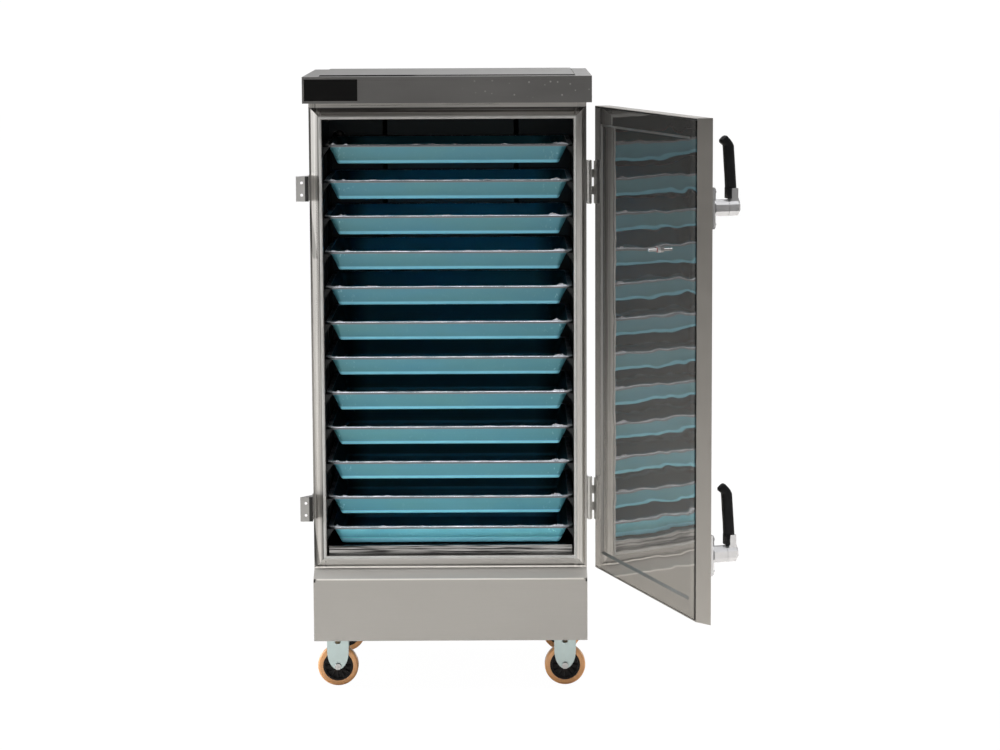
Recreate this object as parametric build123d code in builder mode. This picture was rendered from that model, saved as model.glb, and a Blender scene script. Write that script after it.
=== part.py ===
"""Rice steamer cabinet: one insulated chamber on casters with twelve sliding trays and a side-hung door.

Millimetres, +Z up. The front faces -Y. The origin lies on the floor, midway between the cabinet's
sides and midway between the door frame's plane and the back wall. The door stands open as at rest.
"""
from build123d import *

import os
from math import atan, cos, radians

os.makedirs("parts", exist_ok=True)

# Trays and the space that each one needs
TRAY_WIDTH = 600.0
TRAY_DEPTH = 400.0
TRAY_HEIGHT = 45.0
TRAY_COUNT = 12
TRAY_SHEET = 1.2
TRAY_PITCH = 85.8
LOWEST_PITCH = 75.2
LOWEST_RIM = 68.2
TOP_SPACE = 61.6
RIM_FLANGE = 17.0
RIM_LIP = 6.0
TRAY_DRAFT = 16.0
TRAY_CORNER = 28.0
TRAY_FOOT_CORNER = 14.0
TRAY_SIDE_CLEARANCE = 2.0
TRAY_SETBACK = 15.4

# Sheet metal and insulation of the body
SHEET = 1.5
FRAME_FLAT = 5.0
FRAME_SLOPE = 18.0
FRAME_LIP = 8.0
FRAME_RISE = 8.0
FRAME_RETURN = 22.0
LINER_MARGIN = 8.0
BACK_FOAM = 33.0

# Perforated steam duct on the back wall
RISER_WIDTH = 320.0
RISER_SPLAY = 13.0
RISER_DEPTH = 26.0
RISER_GAP = 2.6
RISER_SLOT_LENGTH = 110.0
RISER_SLOT_HEIGHT = 6.0

# Base, sill and top cover
SKIRT_DROP = 2.0
BASE_HEIGHT = 153.0
SILL_RISE = 19.0
SILL_NOTCH = 5.0
FRONT_REACH = 48.0
ANGLE_LEG = 30.0
ANGLE_THICKNESS = 3.0
PAD_LENGTH = 150.0
COVER_HEIGHT = 63.0
COVER_GAP = 9.0
COVER_OVERHANG = 12.0
COVER_BACK = 10.0
COVER_FIELD_INSET = 38.0
COVER_FIELD_RISE = 3.0
PLATE_WIDTH = 127.0
PLATE_HEIGHT = 51.0
PLATE_INSET = 5.0
PLATE_THICKNESS = 1.0

# Water tank with its cover, heater, feed box and drain
TANK_DEPTH = 168.0
TANK_FLANGE = 21.5
TANK_FRONT_LAP = 4.0
DECK_SETBACK = 12.0
DECK_HEIGHT = 19.0
DECK_LIP = 3.0
DECK_HEM = 8.0
DECK_SIDE_GAP = 5.0
STEAM_GAP = 8.0
ELEMENT_COUNT = 3
ELEMENT_RADIUS = 5.0
ELEMENT_BEND = 14.0
ELEMENT_SPACING = 60.0
ELEMENT_LENGTH = 320.0
ELEMENT_CLEARANCE = 32.0
FLANGE_WIDTH = 190.0
FLANGE_HEIGHT = 44.0
FLANGE_THICKNESS = 4.0
TERMINAL_RADIUS = 3.0
TERMINAL_LENGTH = 56.0
WIRING_LIFT = 5.0
WIRING_WIDTH = 230.0
WIRING_HEIGHT = 140.0
WIRING_DEPTH = 62.0
GLAND_RADIUS = 10.0
GLAND_LENGTH = 18.0
FEED_INSET = 108.0
FEED_WIDTH = 150.0
FEED_DEPTH = 90.0
FEED_HEIGHT = 150.0
FEED_BOTTOM = 200.0
LID_FLANGE = 8.0
LID_CLEARANCE = 0.6
LID_EAR = 8.0
LID_BARREL = 4.0
LID_PIN = 2.0
PIPE_RADIUS = 10.0
PIPE_WALL = 2.0
PIPE_FIT = 0.3
VALVE_RADIUS = 9.0
VALVE_LENGTH = 30.0
VALVE_DROP = 50.0
CLEVIS_GAP = 7.0
CLEVIS_EAR = 3.0
FLOAT_RADIUS = 26.0
FLOAT_ARM = 82.0
FLOAT_ROD = 2.0
PIVOT_RADIUS = 2.5
DRAIN_INSET = 108.0
DRAIN_RISE = 24.0
DRAIN_RADIUS = 13.0
DRAIN_BODY = 20.0
DRAIN_LENGTH = 120.0
STEM_RADIUS = 4.0
STEM_RISE = 6.0
DRAIN_LEVER = 72.0
DRAIN_LEVER_WIDTH = 16.0
VENT_INSET = 48.0
VENT_DROP = 66.0
VENT_RADIUS = 16.0
VENT_BEND = 34.0
VENT_REACH = 24.0

# Tray racks
RAIL_SEAT = 16.5
RAIL_DROP = 24.0
POST_WIDTH = 20.0
POST_INSET = 25.0
RUNNING_CLEARANCE = 0.3

# Door, hinges and latches
DOOR_THICKNESS = 37.0
DOOR_GAP = 11.0
DOOR_INSET = 2.0
DOOR_TOP_CLEARANCE = 10.0
DOOR_BEVEL = 10.0
DOOR_OPEN_DEGREES = 108.0
DOOR_SEAM = 1.0
PANEL_DEPTH = 7.0
PANEL_GAP = 2.0
PANEL_BORDER = 42.0
PANEL_RECESS = 4.0
PANEL_SPLAY = 6.0
GASKET_WIDTH = 6.0
GASKET_CLEARANCE = 0.3
HINGE_HEIGHT = 102.0
HINGE_KNUCKLES = 5
HINGE_HEIGHTS = (474.5, 1244.5)
HINGE_LEAF = 32.0
HINGE_DOOR_LEAF = 20.0
HINGE_PLATE = 2.5
BARREL_RADIUS = 6.5
BARREL_STANDOFF = 7.0
PIN_RADIUS = 3.2
PIN_CLEARANCE = 0.08
KNUCKLE_GAP = 0.6
LATCH_HEIGHTS = {"lower": 450.0, "upper": 1228.0}
LATCH_INSET = 24.0
LATCH_BASE_WIDTH = 36.0
LATCH_BASE_HEIGHT = 92.0
LATCH_BASE_THICKNESS = 11.5
LATCH_BASE_BEVEL = 4.0
HUB_FLATS = 36.0
HUB_SIDES = 8
HUB_FIXED = 31.5
HUB_TURNING = 26.5
HUB_GROOVE = 0.6
SPINDLE_RADIUS = 6.0
ARM_WIDTH = 22.0
ARM_THICKNESS = 14.0
ARM_KNEE = 12.0
ARM_SHOULDER = 22.0
ARM_FLARE = 2.0
ARM_RISE = 43.0
WEDGE_WIDTH = 14.0
WEDGE_STEP = 4.0
WEDGE_TOE = 24.0
WEDGE_HEEL = 19.0
GRIP_LENGTH = 116.0
GRIP_SETBACK = 6.0
GRIP_THICKNESS = 27.0
GRIP_LEAN = 6.0
GRIP_SHOULDER = 13.0
GRIP_HOOK = 15.0
GRIP_BEVEL = 4.0
KEEPER_WIDTH = 27.0
KEEPER_HEIGHT = 60.0
KEEPER_LEG = 52.0
KEEPER_REACH = 36.0
KEEPER_THICKNESS = 3.0
KEEPER_HOLE = 3.5
KEEPER_HOLE_SPACING = 29.5
KEEPER_LIFT = 5.0
GAUGE_ALONG = 428.0
GAUGE_HEIGHT = 1118.0
GAUGE_RADIUS = 30.0
GAUGE_THICKNESS = 14.0
PROBE_RADIUS = 3.5
PROBE_LENGTH = 24.0
PROBE_COLLAR = 7.0

# Casters
WHEEL_RADIUS = 50.0
WHEEL_WIDTH = 30.0
CORE_RADIUS = 37.0
CORE_RIM = 5.0
CORE_DISH = 7.0
TREAD_ROUND = 6.0
HUB_RADIUS = 14.0
HUB_LENGTH = 32.0
CASTER_HEIGHT = 133.0
CASTER_INSET = 53.0
CASTER_END_INSET = 50.0
FORK_WIDTH = 53.0
FORK_SHEET = 2.5
FORK_GAP = 1.5
FORK_TIP = 8.0
FORK_SHOULDER = 88.0
FORK_SLOT_DROP = 19.5
FORK_SLOT_LENGTH = 14.0
FORK_SLOT_WIDTH = 8.0
FORK_PLATE_WIDTH = 94.0
FORK_PLATE_DEPTH = 80.0
FORK_PLATE_THICKNESS = 3.0
AXLE_RADIUS = 5.0
AXLE_CLEARANCE = 0.08
AXLE_HEAD = 8.5
AXLE_HEAD_THICKNESS = 6.0
BOLT_RADIUS = 4.0
BOLT_HEAD = 7.0
BOLT_HEAD_THICKNESS = 5.5
BOLT_PITCH_X = 74.0
BOLT_PITCH_Y = 58.0

# Places that follow from the sizes above
frame_border = FRAME_FLAT + FRAME_SLOPE + FRAME_LIP
opening_width = TRAY_WIDTH + 2 * TRAY_SIDE_CLEARANCE
body_width = opening_width + 2 * frame_border
body_depth = TRAY_SETBACK + TRAY_DEPTH + RISER_GAP + RISER_DEPTH + BACK_FOAM + 2 * SHEET
half_width = body_width / 2
front_y = -body_depth / 2
back_y = body_depth / 2
skirt_front = front_y - FRONT_REACH

base_bottom = CASTER_HEIGHT - SKIRT_DROP
base_top = base_bottom + BASE_HEIGHT
frame_bottom = base_top + SILL_RISE
opening_bottom = frame_bottom + frame_border
opening_height = LOWEST_RIM + LOWEST_PITCH + (TRAY_COUNT - 2) * TRAY_PITCH + TOP_SPACE
opening_top = opening_bottom + opening_height
frame_top = opening_top + frame_border
cover_bottom = frame_top + COVER_GAP
cover_top = cover_bottom + COVER_HEIGHT
casing_top = cover_top - SHEET

frame_back = front_y + FRAME_RETURN
liner_half = opening_width / 2 + LINER_MARGIN
liner_top = opening_top + LINER_MARGIN
liner_back = back_y - 2 * SHEET - BACK_FOAM
tank_rim = opening_bottom
tank_half = liner_half + SHEET - TANK_FLANGE
tank_front = frame_back + TANK_FRONT_LAP
tank_back = liner_back + SHEET - TANK_FLANGE / 2
tank_bottom = tank_rim - TANK_DEPTH
tray_front = front_y + TRAY_SETBACK
tray_back = tray_front + TRAY_DEPTH
tray_middle = (tray_front + tray_back) / 2
lowest_rim_z = opening_bottom + LOWEST_RIM
tray_rims = [lowest_rim_z + (LOWEST_PITCH + (n - 1) * TRAY_PITCH if n else 0.0) for n in range(TRAY_COUNT)]
riser_front = liner_back - RISER_DEPTH
feed_x = half_width - FEED_INSET
drain_x = DRAIN_INSET - half_width
vent_x = VENT_INSET - half_width


def front_plane(y):
    """Plane facing the front at depth y: extruding by a positive amount comes towards the viewer."""
    return Plane.XZ.offset(-y)


def side_plane(x):
    """Plane whose x runs to the back and whose y runs up: a positive amount goes to the right."""
    return Plane.YZ.offset(x)


def level(z):
    """Horizontal plane at height z."""
    return Plane.XY.offset(z)


# Outer casing: side, back and top sheets, open at the front and below
casing_middle = (base_top + casing_top) / 2
vent_z = opening_top - VENT_DROP
with BuildPart() as outer_casing:
    with BuildSketch(front_plane(front_y + SHEET)):
        with Locations((0, casing_middle)):
            Rectangle(body_width, casing_top - base_top)
    extrude(amount=-(body_depth - SHEET))
    with BuildSketch(front_plane(front_y + SHEET)):
        with Locations((0, (base_top + casing_top - SHEET) / 2)):
            Rectangle(body_width - 2 * SHEET, casing_top - SHEET - base_top)
    extrude(amount=-(body_depth - 2 * SHEET), mode=Mode.SUBTRACT)
    with BuildSketch(front_plane(back_y)):
        with Locations((vent_x, vent_z)):
            Circle(VENT_RADIUS + PIPE_FIT)
    extrude(amount=2 * SHEET, mode=Mode.SUBTRACT)
outer_casing.part.label = "outer_casing"
export_step(outer_casing.part, "parts/outer_casing.step")

# Chamber liner: welded inner box with a front return that meets the door frame
liner_height = liner_top - tank_rim
with BuildPart() as chamber_liner:
    with BuildSketch(front_plane(frame_back)):
        with Locations((0, tank_rim + (liner_height + SHEET) / 2)):
            Rectangle(2 * (liner_half + SHEET), liner_height + SHEET)
    extrude(amount=-(liner_back + SHEET - frame_back))
    with BuildSketch(front_plane(frame_back + SHEET)):
        with Locations((0, tank_rim + liner_height / 2)):
            Rectangle(2 * liner_half, liner_height)
    extrude(amount=-(liner_back - frame_back - SHEET), mode=Mode.SUBTRACT)
    with BuildSketch(front_plane(frame_back)):
        with Locations((0, (tank_rim + opening_top) / 2)):
            Rectangle(opening_width, opening_top - tank_rim)
    extrude(amount=-SHEET, mode=Mode.SUBTRACT)
    with BuildSketch(front_plane(liner_back)):
        with Locations((vent_x, vent_z)):
            Circle(VENT_RADIUS + PIPE_FIT)
    extrude(amount=-2 * SHEET, mode=Mode.SUBTRACT)
chamber_liner.part.label = "chamber_liner"
export_step(chamber_liner.part, "parts/chamber_liner.step")

# Insulation: one foamed block that fills the walls between liner and casing
foam_top = casing_top - SHEET
with BuildPart() as cabinet_insulation:
    with BuildSketch(front_plane(front_y + SHEET)):
        with Locations((0, (tank_rim + foam_top) / 2)):
            Rectangle(body_width - 2 * SHEET, foam_top - tank_rim)
    extrude(amount=-(body_depth - 2 * SHEET))
    with BuildSketch(front_plane(frame_back)):
        with Locations((0, (tank_rim + liner_top + SHEET) / 2)):
            Rectangle(2 * (liner_half + SHEET), liner_top + SHEET - tank_rim)
    extrude(amount=-(liner_back + SHEET - frame_back), mode=Mode.SUBTRACT)
    with BuildSketch(front_plane(front_y)):
        with Locations((0, (tank_rim + opening_top + SHEET) / 2)):
            Rectangle(opening_width + 2 * SHEET, opening_top + SHEET - tank_rim)
    extrude(amount=-FRAME_RETURN, mode=Mode.SUBTRACT)
    with BuildSketch(front_plane(back_y)):
        with Locations((vent_x, vent_z)):
            Circle(VENT_RADIUS + PIPE_FIT)
    extrude(amount=back_y - liner_back, mode=Mode.SUBTRACT)
cabinet_insulation.part.label = "cabinet_insulation"
export_step(cabinet_insulation.part, "parts/cabinet_insulation.step")

# Door frame: folded front with a raised mitred rib round the opening
opening_middle = (opening_bottom + opening_top) / 2
rib_skin = SHEET / cos(atan(FRAME_RISE / FRAME_SLOPE))
rib_foot = (opening_width + 2 * (FRAME_LIP + FRAME_SLOPE), opening_height + 2 * (FRAME_LIP + FRAME_SLOPE))
rib_crest = (opening_width + 2 * FRAME_LIP, opening_height + 2 * FRAME_LIP)
with BuildPart() as door_frame:
    with BuildSketch(front_plane(front_y)):
        with Locations((0, casing_middle)):
            Rectangle(body_width, casing_top - base_top)
    extrude(amount=-SHEET)
    for shift, mode in ((0.0, Mode.ADD), (rib_skin, Mode.SUBTRACT)):
        with BuildSketch(front_plane(front_y + shift)):
            with Locations((0, opening_middle)):
                Rectangle(*rib_foot)
        with BuildSketch(front_plane(front_y - FRAME_RISE + shift)):
            with Locations((0, opening_middle)):
                Rectangle(*rib_crest)
        loft(mode=mode)
    with BuildSketch(front_plane(front_y - FRAME_RISE)):
        with Locations((0, opening_middle)):
            Rectangle(opening_width + 2 * SHEET, opening_height + 2 * SHEET)
    extrude(amount=-(FRAME_RISE + FRAME_RETURN))
    with BuildSketch(front_plane(front_y - FRAME_RISE)):
        with Locations((0, opening_middle)):
            Rectangle(opening_width, opening_height)
    extrude(amount=-(FRAME_RISE + FRAME_RETURN), mode=Mode.SUBTRACT)
door_frame.part.label = "door_frame"
export_step(door_frame.part, "parts/door_frame.step")

# Door gasket: silicone strip on the rib's crest, just clear of the closed door
gasket_height = DOOR_GAP - FRAME_RISE - GASKET_CLEARANCE
gasket_inset = (FRAME_LIP - GASKET_WIDTH) / 2
with BuildPart() as door_gasket:
    with BuildSketch(front_plane(front_y - FRAME_RISE)):
        with Locations((0, opening_middle)):
            Rectangle(rib_crest[0] - 2 * gasket_inset, rib_crest[1] - 2 * gasket_inset)
            Rectangle(opening_width + 2 * gasket_inset, opening_height + 2 * gasket_inset, mode=Mode.SUBTRACT)
    extrude(amount=gasket_height)
    chamfer(door_gasket.faces().sort_by(Axis.Y)[0].edges(), length=gasket_height / 3)
door_gasket.part.label = "door_gasket"
export_step(door_gasket.part, "parts/door_gasket.step")

# Top cover: cap with a raised field and a folded soffit that closes on the casing
cover_half = half_width + COVER_OVERHANG
cover_front = skirt_front
cover_back = back_y + COVER_BACK
cover_middle = (cover_front + cover_back) / 2
cover_depth = cover_back - cover_front
with BuildPart() as top_cover:
    with BuildSketch(level(cover_bottom)):
        with Locations((0, cover_middle)):
            Rectangle(2 * cover_half, cover_depth)
    extrude(amount=COVER_HEIGHT)
    with BuildSketch(level(cover_bottom + SHEET)):
        with Locations((0, cover_middle)):
            Rectangle(2 * (cover_half - SHEET), cover_depth - 2 * SHEET)
    extrude(amount=COVER_HEIGHT - 2 * SHEET, mode=Mode.SUBTRACT)
    with BuildSketch(level(cover_bottom)):
        Rectangle(body_width, body_depth)
    extrude(amount=SHEET, mode=Mode.SUBTRACT)
    for drop, mode in ((0.0, Mode.ADD), (SHEET, Mode.SUBTRACT)):
        with BuildSketch(level(cover_top - drop)):
            with Locations((0, cover_middle)):
                Rectangle(2 * (cover_half - COVER_FIELD_INSET), cover_depth - 2 * COVER_FIELD_INSET)
        extrude(amount=COVER_FIELD_RISE, taper=45, mode=mode)
top_cover.part.label = "top_cover"
export_step(top_cover.part, "parts/top_cover.step")

# Name plate: bare
with BuildPart() as name_plate:
    with BuildSketch(front_plane(cover_front)):
        with Locations((-cover_half + PLATE_INSET + PLATE_WIDTH / 2, cover_bottom + COVER_HEIGHT / 2)):
            Rectangle(PLATE_WIDTH, PLATE_HEIGHT)
    extrude(amount=PLATE_THICKNESS)
name_plate.part.label = "name_plate"
export_step(name_plate.part, "parts/name_plate.step")

# Places on the back that cut through the base
element_z = tank_bottom + ELEMENT_CLEARANCE
drain_z = tank_bottom + DRAIN_RISE
feed_pipe_z = FEED_BOTTOM + PIPE_RADIUS + 2 * SHEET
window_width = FLANGE_WIDTH - 2 * FLANGE_THICKNESS
window_height = FLANGE_HEIGHT - 2 * FLANGE_THICKNESS

# Base skirt: front, sides and back of the base with the sloping sill folded from the same sheet
sill_skin = SHEET / cos(atan(SILL_RISE / FRONT_REACH))
with BuildPart() as base_skirt:
    with BuildSketch(side_plane(-half_width)):
        with BuildLine():
            Polyline(
                (skirt_front, base_bottom),
                (back_y, base_bottom),
                (back_y, base_top),
                (front_y, base_top),
                (front_y, frame_bottom),
                (skirt_front, base_top),
                close=True,
            )
        make_face()
    extrude(amount=body_width)
    with BuildSketch(side_plane(-half_width + SHEET)):
        with BuildLine():
            Polyline(
                (skirt_front + SHEET, base_bottom),
                (back_y - SHEET, base_bottom),
                (back_y - SHEET, base_top),
                (front_y, base_top),
                (front_y, frame_bottom - sill_skin),
                (skirt_front + SHEET, base_top + SHEET * SILL_RISE / FRONT_REACH - sill_skin),
                close=True,
            )
        make_face()
    extrude(amount=body_width - 2 * SHEET, mode=Mode.SUBTRACT)
    with BuildSketch(front_plane(back_y)):
        with Locations((0, element_z)):
            Rectangle(window_width, window_height)
        with Locations((drain_x, drain_z)):
            Circle(DRAIN_RADIUS + PIPE_FIT)
        with Locations((feed_x, feed_pipe_z)):
            Circle(PIPE_RADIUS + PIPE_FIT)
    extrude(amount=2 * SHEET, mode=Mode.SUBTRACT)
    with Locations(
        (-half_width + SILL_NOTCH, skirt_front, base_top),
        (half_width - SILL_NOTCH, skirt_front, base_top),
    ):
        Box(SILL_NOTCH, SILL_NOTCH, SILL_NOTCH, mode=Mode.SUBTRACT)
base_skirt.part.label = "base_skirt"
export_step(base_skirt.part, "parts/base_skirt.step")

# Base frame: welded angle ring with a pad in each corner for a caster
ring_width = body_width - 2 * SHEET
ring_front = skirt_front + SHEET
ring_back = back_y - SHEET
ring_middle = (ring_front + ring_back) / 2
ring_depth = ring_back - ring_front
caster_x = half_width - CASTER_INSET
caster_y = back_y - CASTER_END_INSET
pad_inner = caster_x - FORK_PLATE_WIDTH / 2
with BuildPart() as base_frame:
    with BuildSketch(level(CASTER_HEIGHT)):
        with Locations((0, ring_middle)):
            Rectangle(ring_width, ring_depth)
            Rectangle(ring_width - 2 * ANGLE_LEG, ring_depth - 2 * PAD_LENGTH, mode=Mode.SUBTRACT)
            Rectangle(2 * pad_inner, ring_depth - 2 * ANGLE_LEG, mode=Mode.SUBTRACT)
    extrude(amount=ANGLE_THICKNESS)
    with BuildSketch(level(CASTER_HEIGHT)):
        with Locations((0, ring_middle)):
            Rectangle(ring_width, ring_depth)
            Rectangle(ring_width - 2 * ANGLE_THICKNESS, ring_depth - 2 * ANGLE_THICKNESS, mode=Mode.SUBTRACT)
    extrude(amount=ANGLE_LEG)
    with BuildSketch(level(CASTER_HEIGHT)):
        for side in (-1, 1):
            with Locations((side * caster_x, 0)):
                with GridLocations(BOLT_PITCH_X, 2 * caster_y - BOLT_PITCH_Y, 2, 2):
                    Circle(BOLT_RADIUS + PIPE_FIT)
                with GridLocations(BOLT_PITCH_X, 2 * caster_y + BOLT_PITCH_Y, 2, 2):
                    Circle(BOLT_RADIUS + PIPE_FIT)
    extrude(amount=ANGLE_THICKNESS, mode=Mode.SUBTRACT)
base_frame.part.label = "base_frame"
export_step(base_frame.part, "parts/base_frame.step")

# Water tank: pan hung by its flange, which carries the liner
flange_front = frame_back
flange_back = liner_back + SHEET
tank_middle = (tank_front + tank_back) / 2
with BuildPart() as water_tank:
    with BuildSketch(level(tank_bottom)):
        with Locations((0, tank_middle)):
            Rectangle(2 * tank_half, tank_back - tank_front)
    extrude(amount=TANK_DEPTH)
    with BuildSketch(level(tank_rim - SHEET)):
        with Locations((0, (flange_front + flange_back) / 2)):
            Rectangle(2 * (liner_half + SHEET), flange_back - flange_front)
    extrude(amount=SHEET)
    with BuildSketch(level(tank_bottom + SHEET)):
        with Locations((0, tank_middle)):
            Rectangle(2 * (tank_half - SHEET), tank_back - tank_front - 2 * SHEET)
    extrude(amount=TANK_DEPTH, mode=Mode.SUBTRACT)
    with BuildSketch(front_plane(tank_back)):
        with Locations((0, element_z)):
            Rectangle(window_width, window_height)
        with Locations((drain_x, drain_z)):
            Circle(DRAIN_RADIUS + PIPE_FIT)
        with Locations((feed_x, feed_pipe_z)):
            Circle(PIPE_RADIUS + PIPE_FIT)
    extrude(amount=2 * SHEET, mode=Mode.SUBTRACT)
water_tank.part.label = "water_tank"
export_step(water_tank.part, "parts/water_tank.step")

# Heating elements: hairpin tubes on one flange behind the tank, with their terminals
with BuildPart() as heating_elements:
    with BuildSketch(front_plane(tank_back)):
        with Locations((0, element_z)):
            Rectangle(FLANGE_WIDTH, FLANGE_HEIGHT)
    extrude(amount=-FLANGE_THICKNESS)
    with BuildSketch(front_plane(tank_back + FLANGE_THICKNESS)):
        with Locations((0, element_z)):
            with GridLocations(ELEMENT_SPACING, 1, ELEMENT_COUNT, 1):
                with GridLocations(2 * ELEMENT_BEND, 1, 2, 1):
                    Circle(TERMINAL_RADIUS)
    extrude(amount=-TERMINAL_LENGTH)
    for number in range(ELEMENT_COUNT):
        element_x = (number - (ELEMENT_COUNT - 1) / 2) * ELEMENT_SPACING
        bend_y = tank_back - ELEMENT_LENGTH
        with BuildLine(level(element_z)) as hairpin:
            Line((element_x - ELEMENT_BEND, tank_back), (element_x - ELEMENT_BEND, bend_y))
            CenterArc((element_x, bend_y), ELEMENT_BEND, 180, 180)
            Line((element_x + ELEMENT_BEND, bend_y), (element_x + ELEMENT_BEND, tank_back))
        with BuildSketch(front_plane(tank_back)):
            with Locations((element_x - ELEMENT_BEND, element_z)):
                Circle(ELEMENT_RADIUS)
        sweep(path=hairpin.wire())
heating_elements.part.label = "heating_elements"
export_step(heating_elements.part, "parts/heating_elements.step")

# Tank cover: lift-out deck whose front shows below the lowest tray
deck_half = opening_width / 2 - DECK_SIDE_GAP
deck_front = front_y + DECK_SETBACK
deck_back = riser_front - STEAM_GAP
deck_top = tank_rim + DECK_HEIGHT
with BuildPart() as tank_cover:
    with BuildSketch(level(tank_rim)):
        with Locations((0, (deck_front + deck_back) / 2)):
            Rectangle(2 * deck_half, deck_back - deck_front)
    extrude(amount=DECK_HEIGHT)
    with BuildSketch(level(tank_rim)):
        with Locations((0, (deck_front + deck_back) / 2 + SHEET / 2)):
            Rectangle(2 * (deck_half - SHEET), deck_back - deck_front - SHEET)
    extrude(amount=DECK_HEIGHT - SHEET, mode=Mode.SUBTRACT)
    with BuildSketch(side_plane(-deck_half)):
        with Locations((deck_front + SHEET / 2, deck_top + DECK_LIP / 2)):
            Rectangle(SHEET, DECK_LIP)
        with Locations((deck_front - SHEET / 2, deck_top + DECK_LIP - DECK_HEM / 2)):
            Rectangle(SHEET, DECK_HEM)
    extrude(amount=2 * deck_half)
tank_cover.part.label = "tank_cover"
export_step(tank_cover.part, "parts/tank_cover.step")

# Steam riser: splayed duct on the back wall with a row of slots at each tray
riser_bottom = tank_rim + DECK_HEIGHT / 2
riser_top = opening_top - LINER_MARGIN
with BuildPart() as steam_riser:
    for wall, mode in ((0.0, Mode.ADD), (SHEET, Mode.SUBTRACT)):
        with BuildSketch(level(riser_bottom - wall)):
            with BuildLine():
                Polyline(
                    (-RISER_WIDTH / 2 - RISER_SPLAY + wall, liner_back),
                    (-RISER_WIDTH / 2 + wall, riser_front + wall),
                    (RISER_WIDTH / 2 - wall, riser_front + wall),
                    (RISER_WIDTH / 2 + RISER_SPLAY - wall, liner_back),
                    close=True,
                )
            make_face()
        extrude(amount=riser_top - riser_bottom, mode=mode)
    with BuildSketch(front_plane(riser_front)):
        for rim in tray_rims:
            with Locations((0, rim - TRAY_HEIGHT / 2)):
                with GridLocations(RISER_WIDTH / 2, 1, 2, 1):
                    Rectangle(RISER_SLOT_LENGTH, RISER_SLOT_HEIGHT)
    extrude(amount=-2 * SHEET, mode=Mode.SUBTRACT)
steam_riser.part.label = "steam_riser"
export_step(steam_riser.part, "parts/steam_riser.step")

# Tray racks: three posts a side with an angle rail under each tray's rim
rail_outer = opening_width / 2 - RUNNING_CLEARANCE
rail_front = tray_front + 2 * SHEET
rail_length = TRAY_DEPTH - 4 * SHEET
post_positions = (POST_INSET, TRAY_DEPTH / 2, TRAY_DEPTH - POST_INSET)
for side, name in ((-1, "left_tray_rack"), (1, "right_tray_rack")):
    with BuildPart() as tray_rack:
        with BuildSketch(level(tank_rim)):
            for position in post_positions:
                with Locations((side * (rail_outer + liner_half) / 2, tray_front + position)):
                    Rectangle(liner_half - rail_outer, POST_WIDTH)
        extrude(amount=tray_rims[-1] - tank_rim)
        for rim in tray_rims:
            seat = rim - RIM_LIP - RUNNING_CLEARANCE
            with BuildSketch(front_plane(rail_front)):
                with BuildLine():
                    Polyline(
                        (side * rail_outer, seat),
                        (side * (rail_outer - RAIL_SEAT), seat),
                        (side * (rail_outer - RAIL_SEAT), seat - SHEET),
                        (side * (rail_outer - SHEET), seat - SHEET),
                        (side * (rail_outer - SHEET), seat - RAIL_DROP),
                        (side * rail_outer, seat - RAIL_DROP),
                        close=True,
                    )
                make_face()
            extrude(amount=-rail_length)
            with BuildSketch(front_plane(rail_front)):
                with BuildLine():
                    Polyline(
                        (side * rail_outer, seat),
                        (side * (rail_outer - RAIL_SEAT), seat),
                        (side * rail_outer, seat - RAIL_DROP),
                        close=True,
                    )
                make_face()
            extrude(amount=-SHEET)
    tray_rack.part.label = name
    export_step(tray_rack.part, f"parts/{name}.step")

# Trays: drawn pans with sloping sides, a wide rim and a turned-down lip
pan_width = TRAY_WIDTH - 2 * RIM_FLANGE
pan_depth = TRAY_DEPTH - 2 * RIM_FLANGE
foot_width = pan_width - 2 * TRAY_DRAFT
foot_depth = pan_depth - 2 * TRAY_DRAFT
for number, rim in enumerate(reversed(tray_rims), start=1):
    with BuildPart() as tray:
        with BuildSketch(level(rim)):
            with Locations((0, tray_middle)):
                RectangleRounded(TRAY_WIDTH, TRAY_DEPTH, TRAY_CORNER)
        extrude(amount=-RIM_LIP)
        with BuildSketch(level(rim - TRAY_SHEET)):
            with Locations((0, tray_middle)):
                RectangleRounded(TRAY_WIDTH - 2 * TRAY_SHEET, TRAY_DEPTH - 2 * TRAY_SHEET, TRAY_CORNER - TRAY_SHEET)
        extrude(amount=-RIM_LIP, mode=Mode.SUBTRACT)
        for wall, mode in ((0.0, Mode.ADD), (TRAY_SHEET, Mode.SUBTRACT)):
            lift = TRAY_SHEET if wall else 0.0
            with BuildSketch(level(rim + lift)):
                with Locations((0, tray_middle)):
                    RectangleRounded(pan_width - 2 * wall, pan_depth - 2 * wall, TRAY_CORNER - wall)
            with BuildSketch(level(rim - TRAY_HEIGHT + lift)):
                with Locations((0, tray_middle)):
                    RectangleRounded(foot_width - 2 * wall, foot_depth - 2 * wall, TRAY_FOOT_CORNER - wall)
            loft(ruled=True, mode=mode)
    tray.part.label = f"tray_{number}"
    export_step(tray.part, f"parts/tray_{number}.step")

# The door's planes: closed, then swung about the hinge pins to where it stands
pin_x = half_width + BARREL_STANDOFF
pin_y = front_y
door_width = body_width - DOOR_INSET
door_bottom = frame_bottom
door_top = cover_bottom - DOOR_TOP_CLEARANCE
door_height = door_top - door_bottom
door_middle = (door_bottom + door_top) / 2
closed_door = Plane(origin=(half_width, front_y - DOOR_GAP, 0), x_dir=(-1, 0, 0), z_dir=(0, 1, 0))
swing = Location((pin_x, pin_y, 0), (0, 0, DOOR_OPEN_DEGREES)) * Location((-pin_x, -pin_y, 0))
door_inside = Plane(swing * closed_door.location)
door_side = Plane(origin=door_inside.origin, x_dir=-door_inside.z_dir, z_dir=door_inside.x_dir)
door_outside = Plane(
    origin=door_inside.from_local_coords((door_width, 0, -DOOR_THICKNESS)),
    x_dir=-door_inside.x_dir,
    z_dir=-door_inside.z_dir,
)

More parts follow.
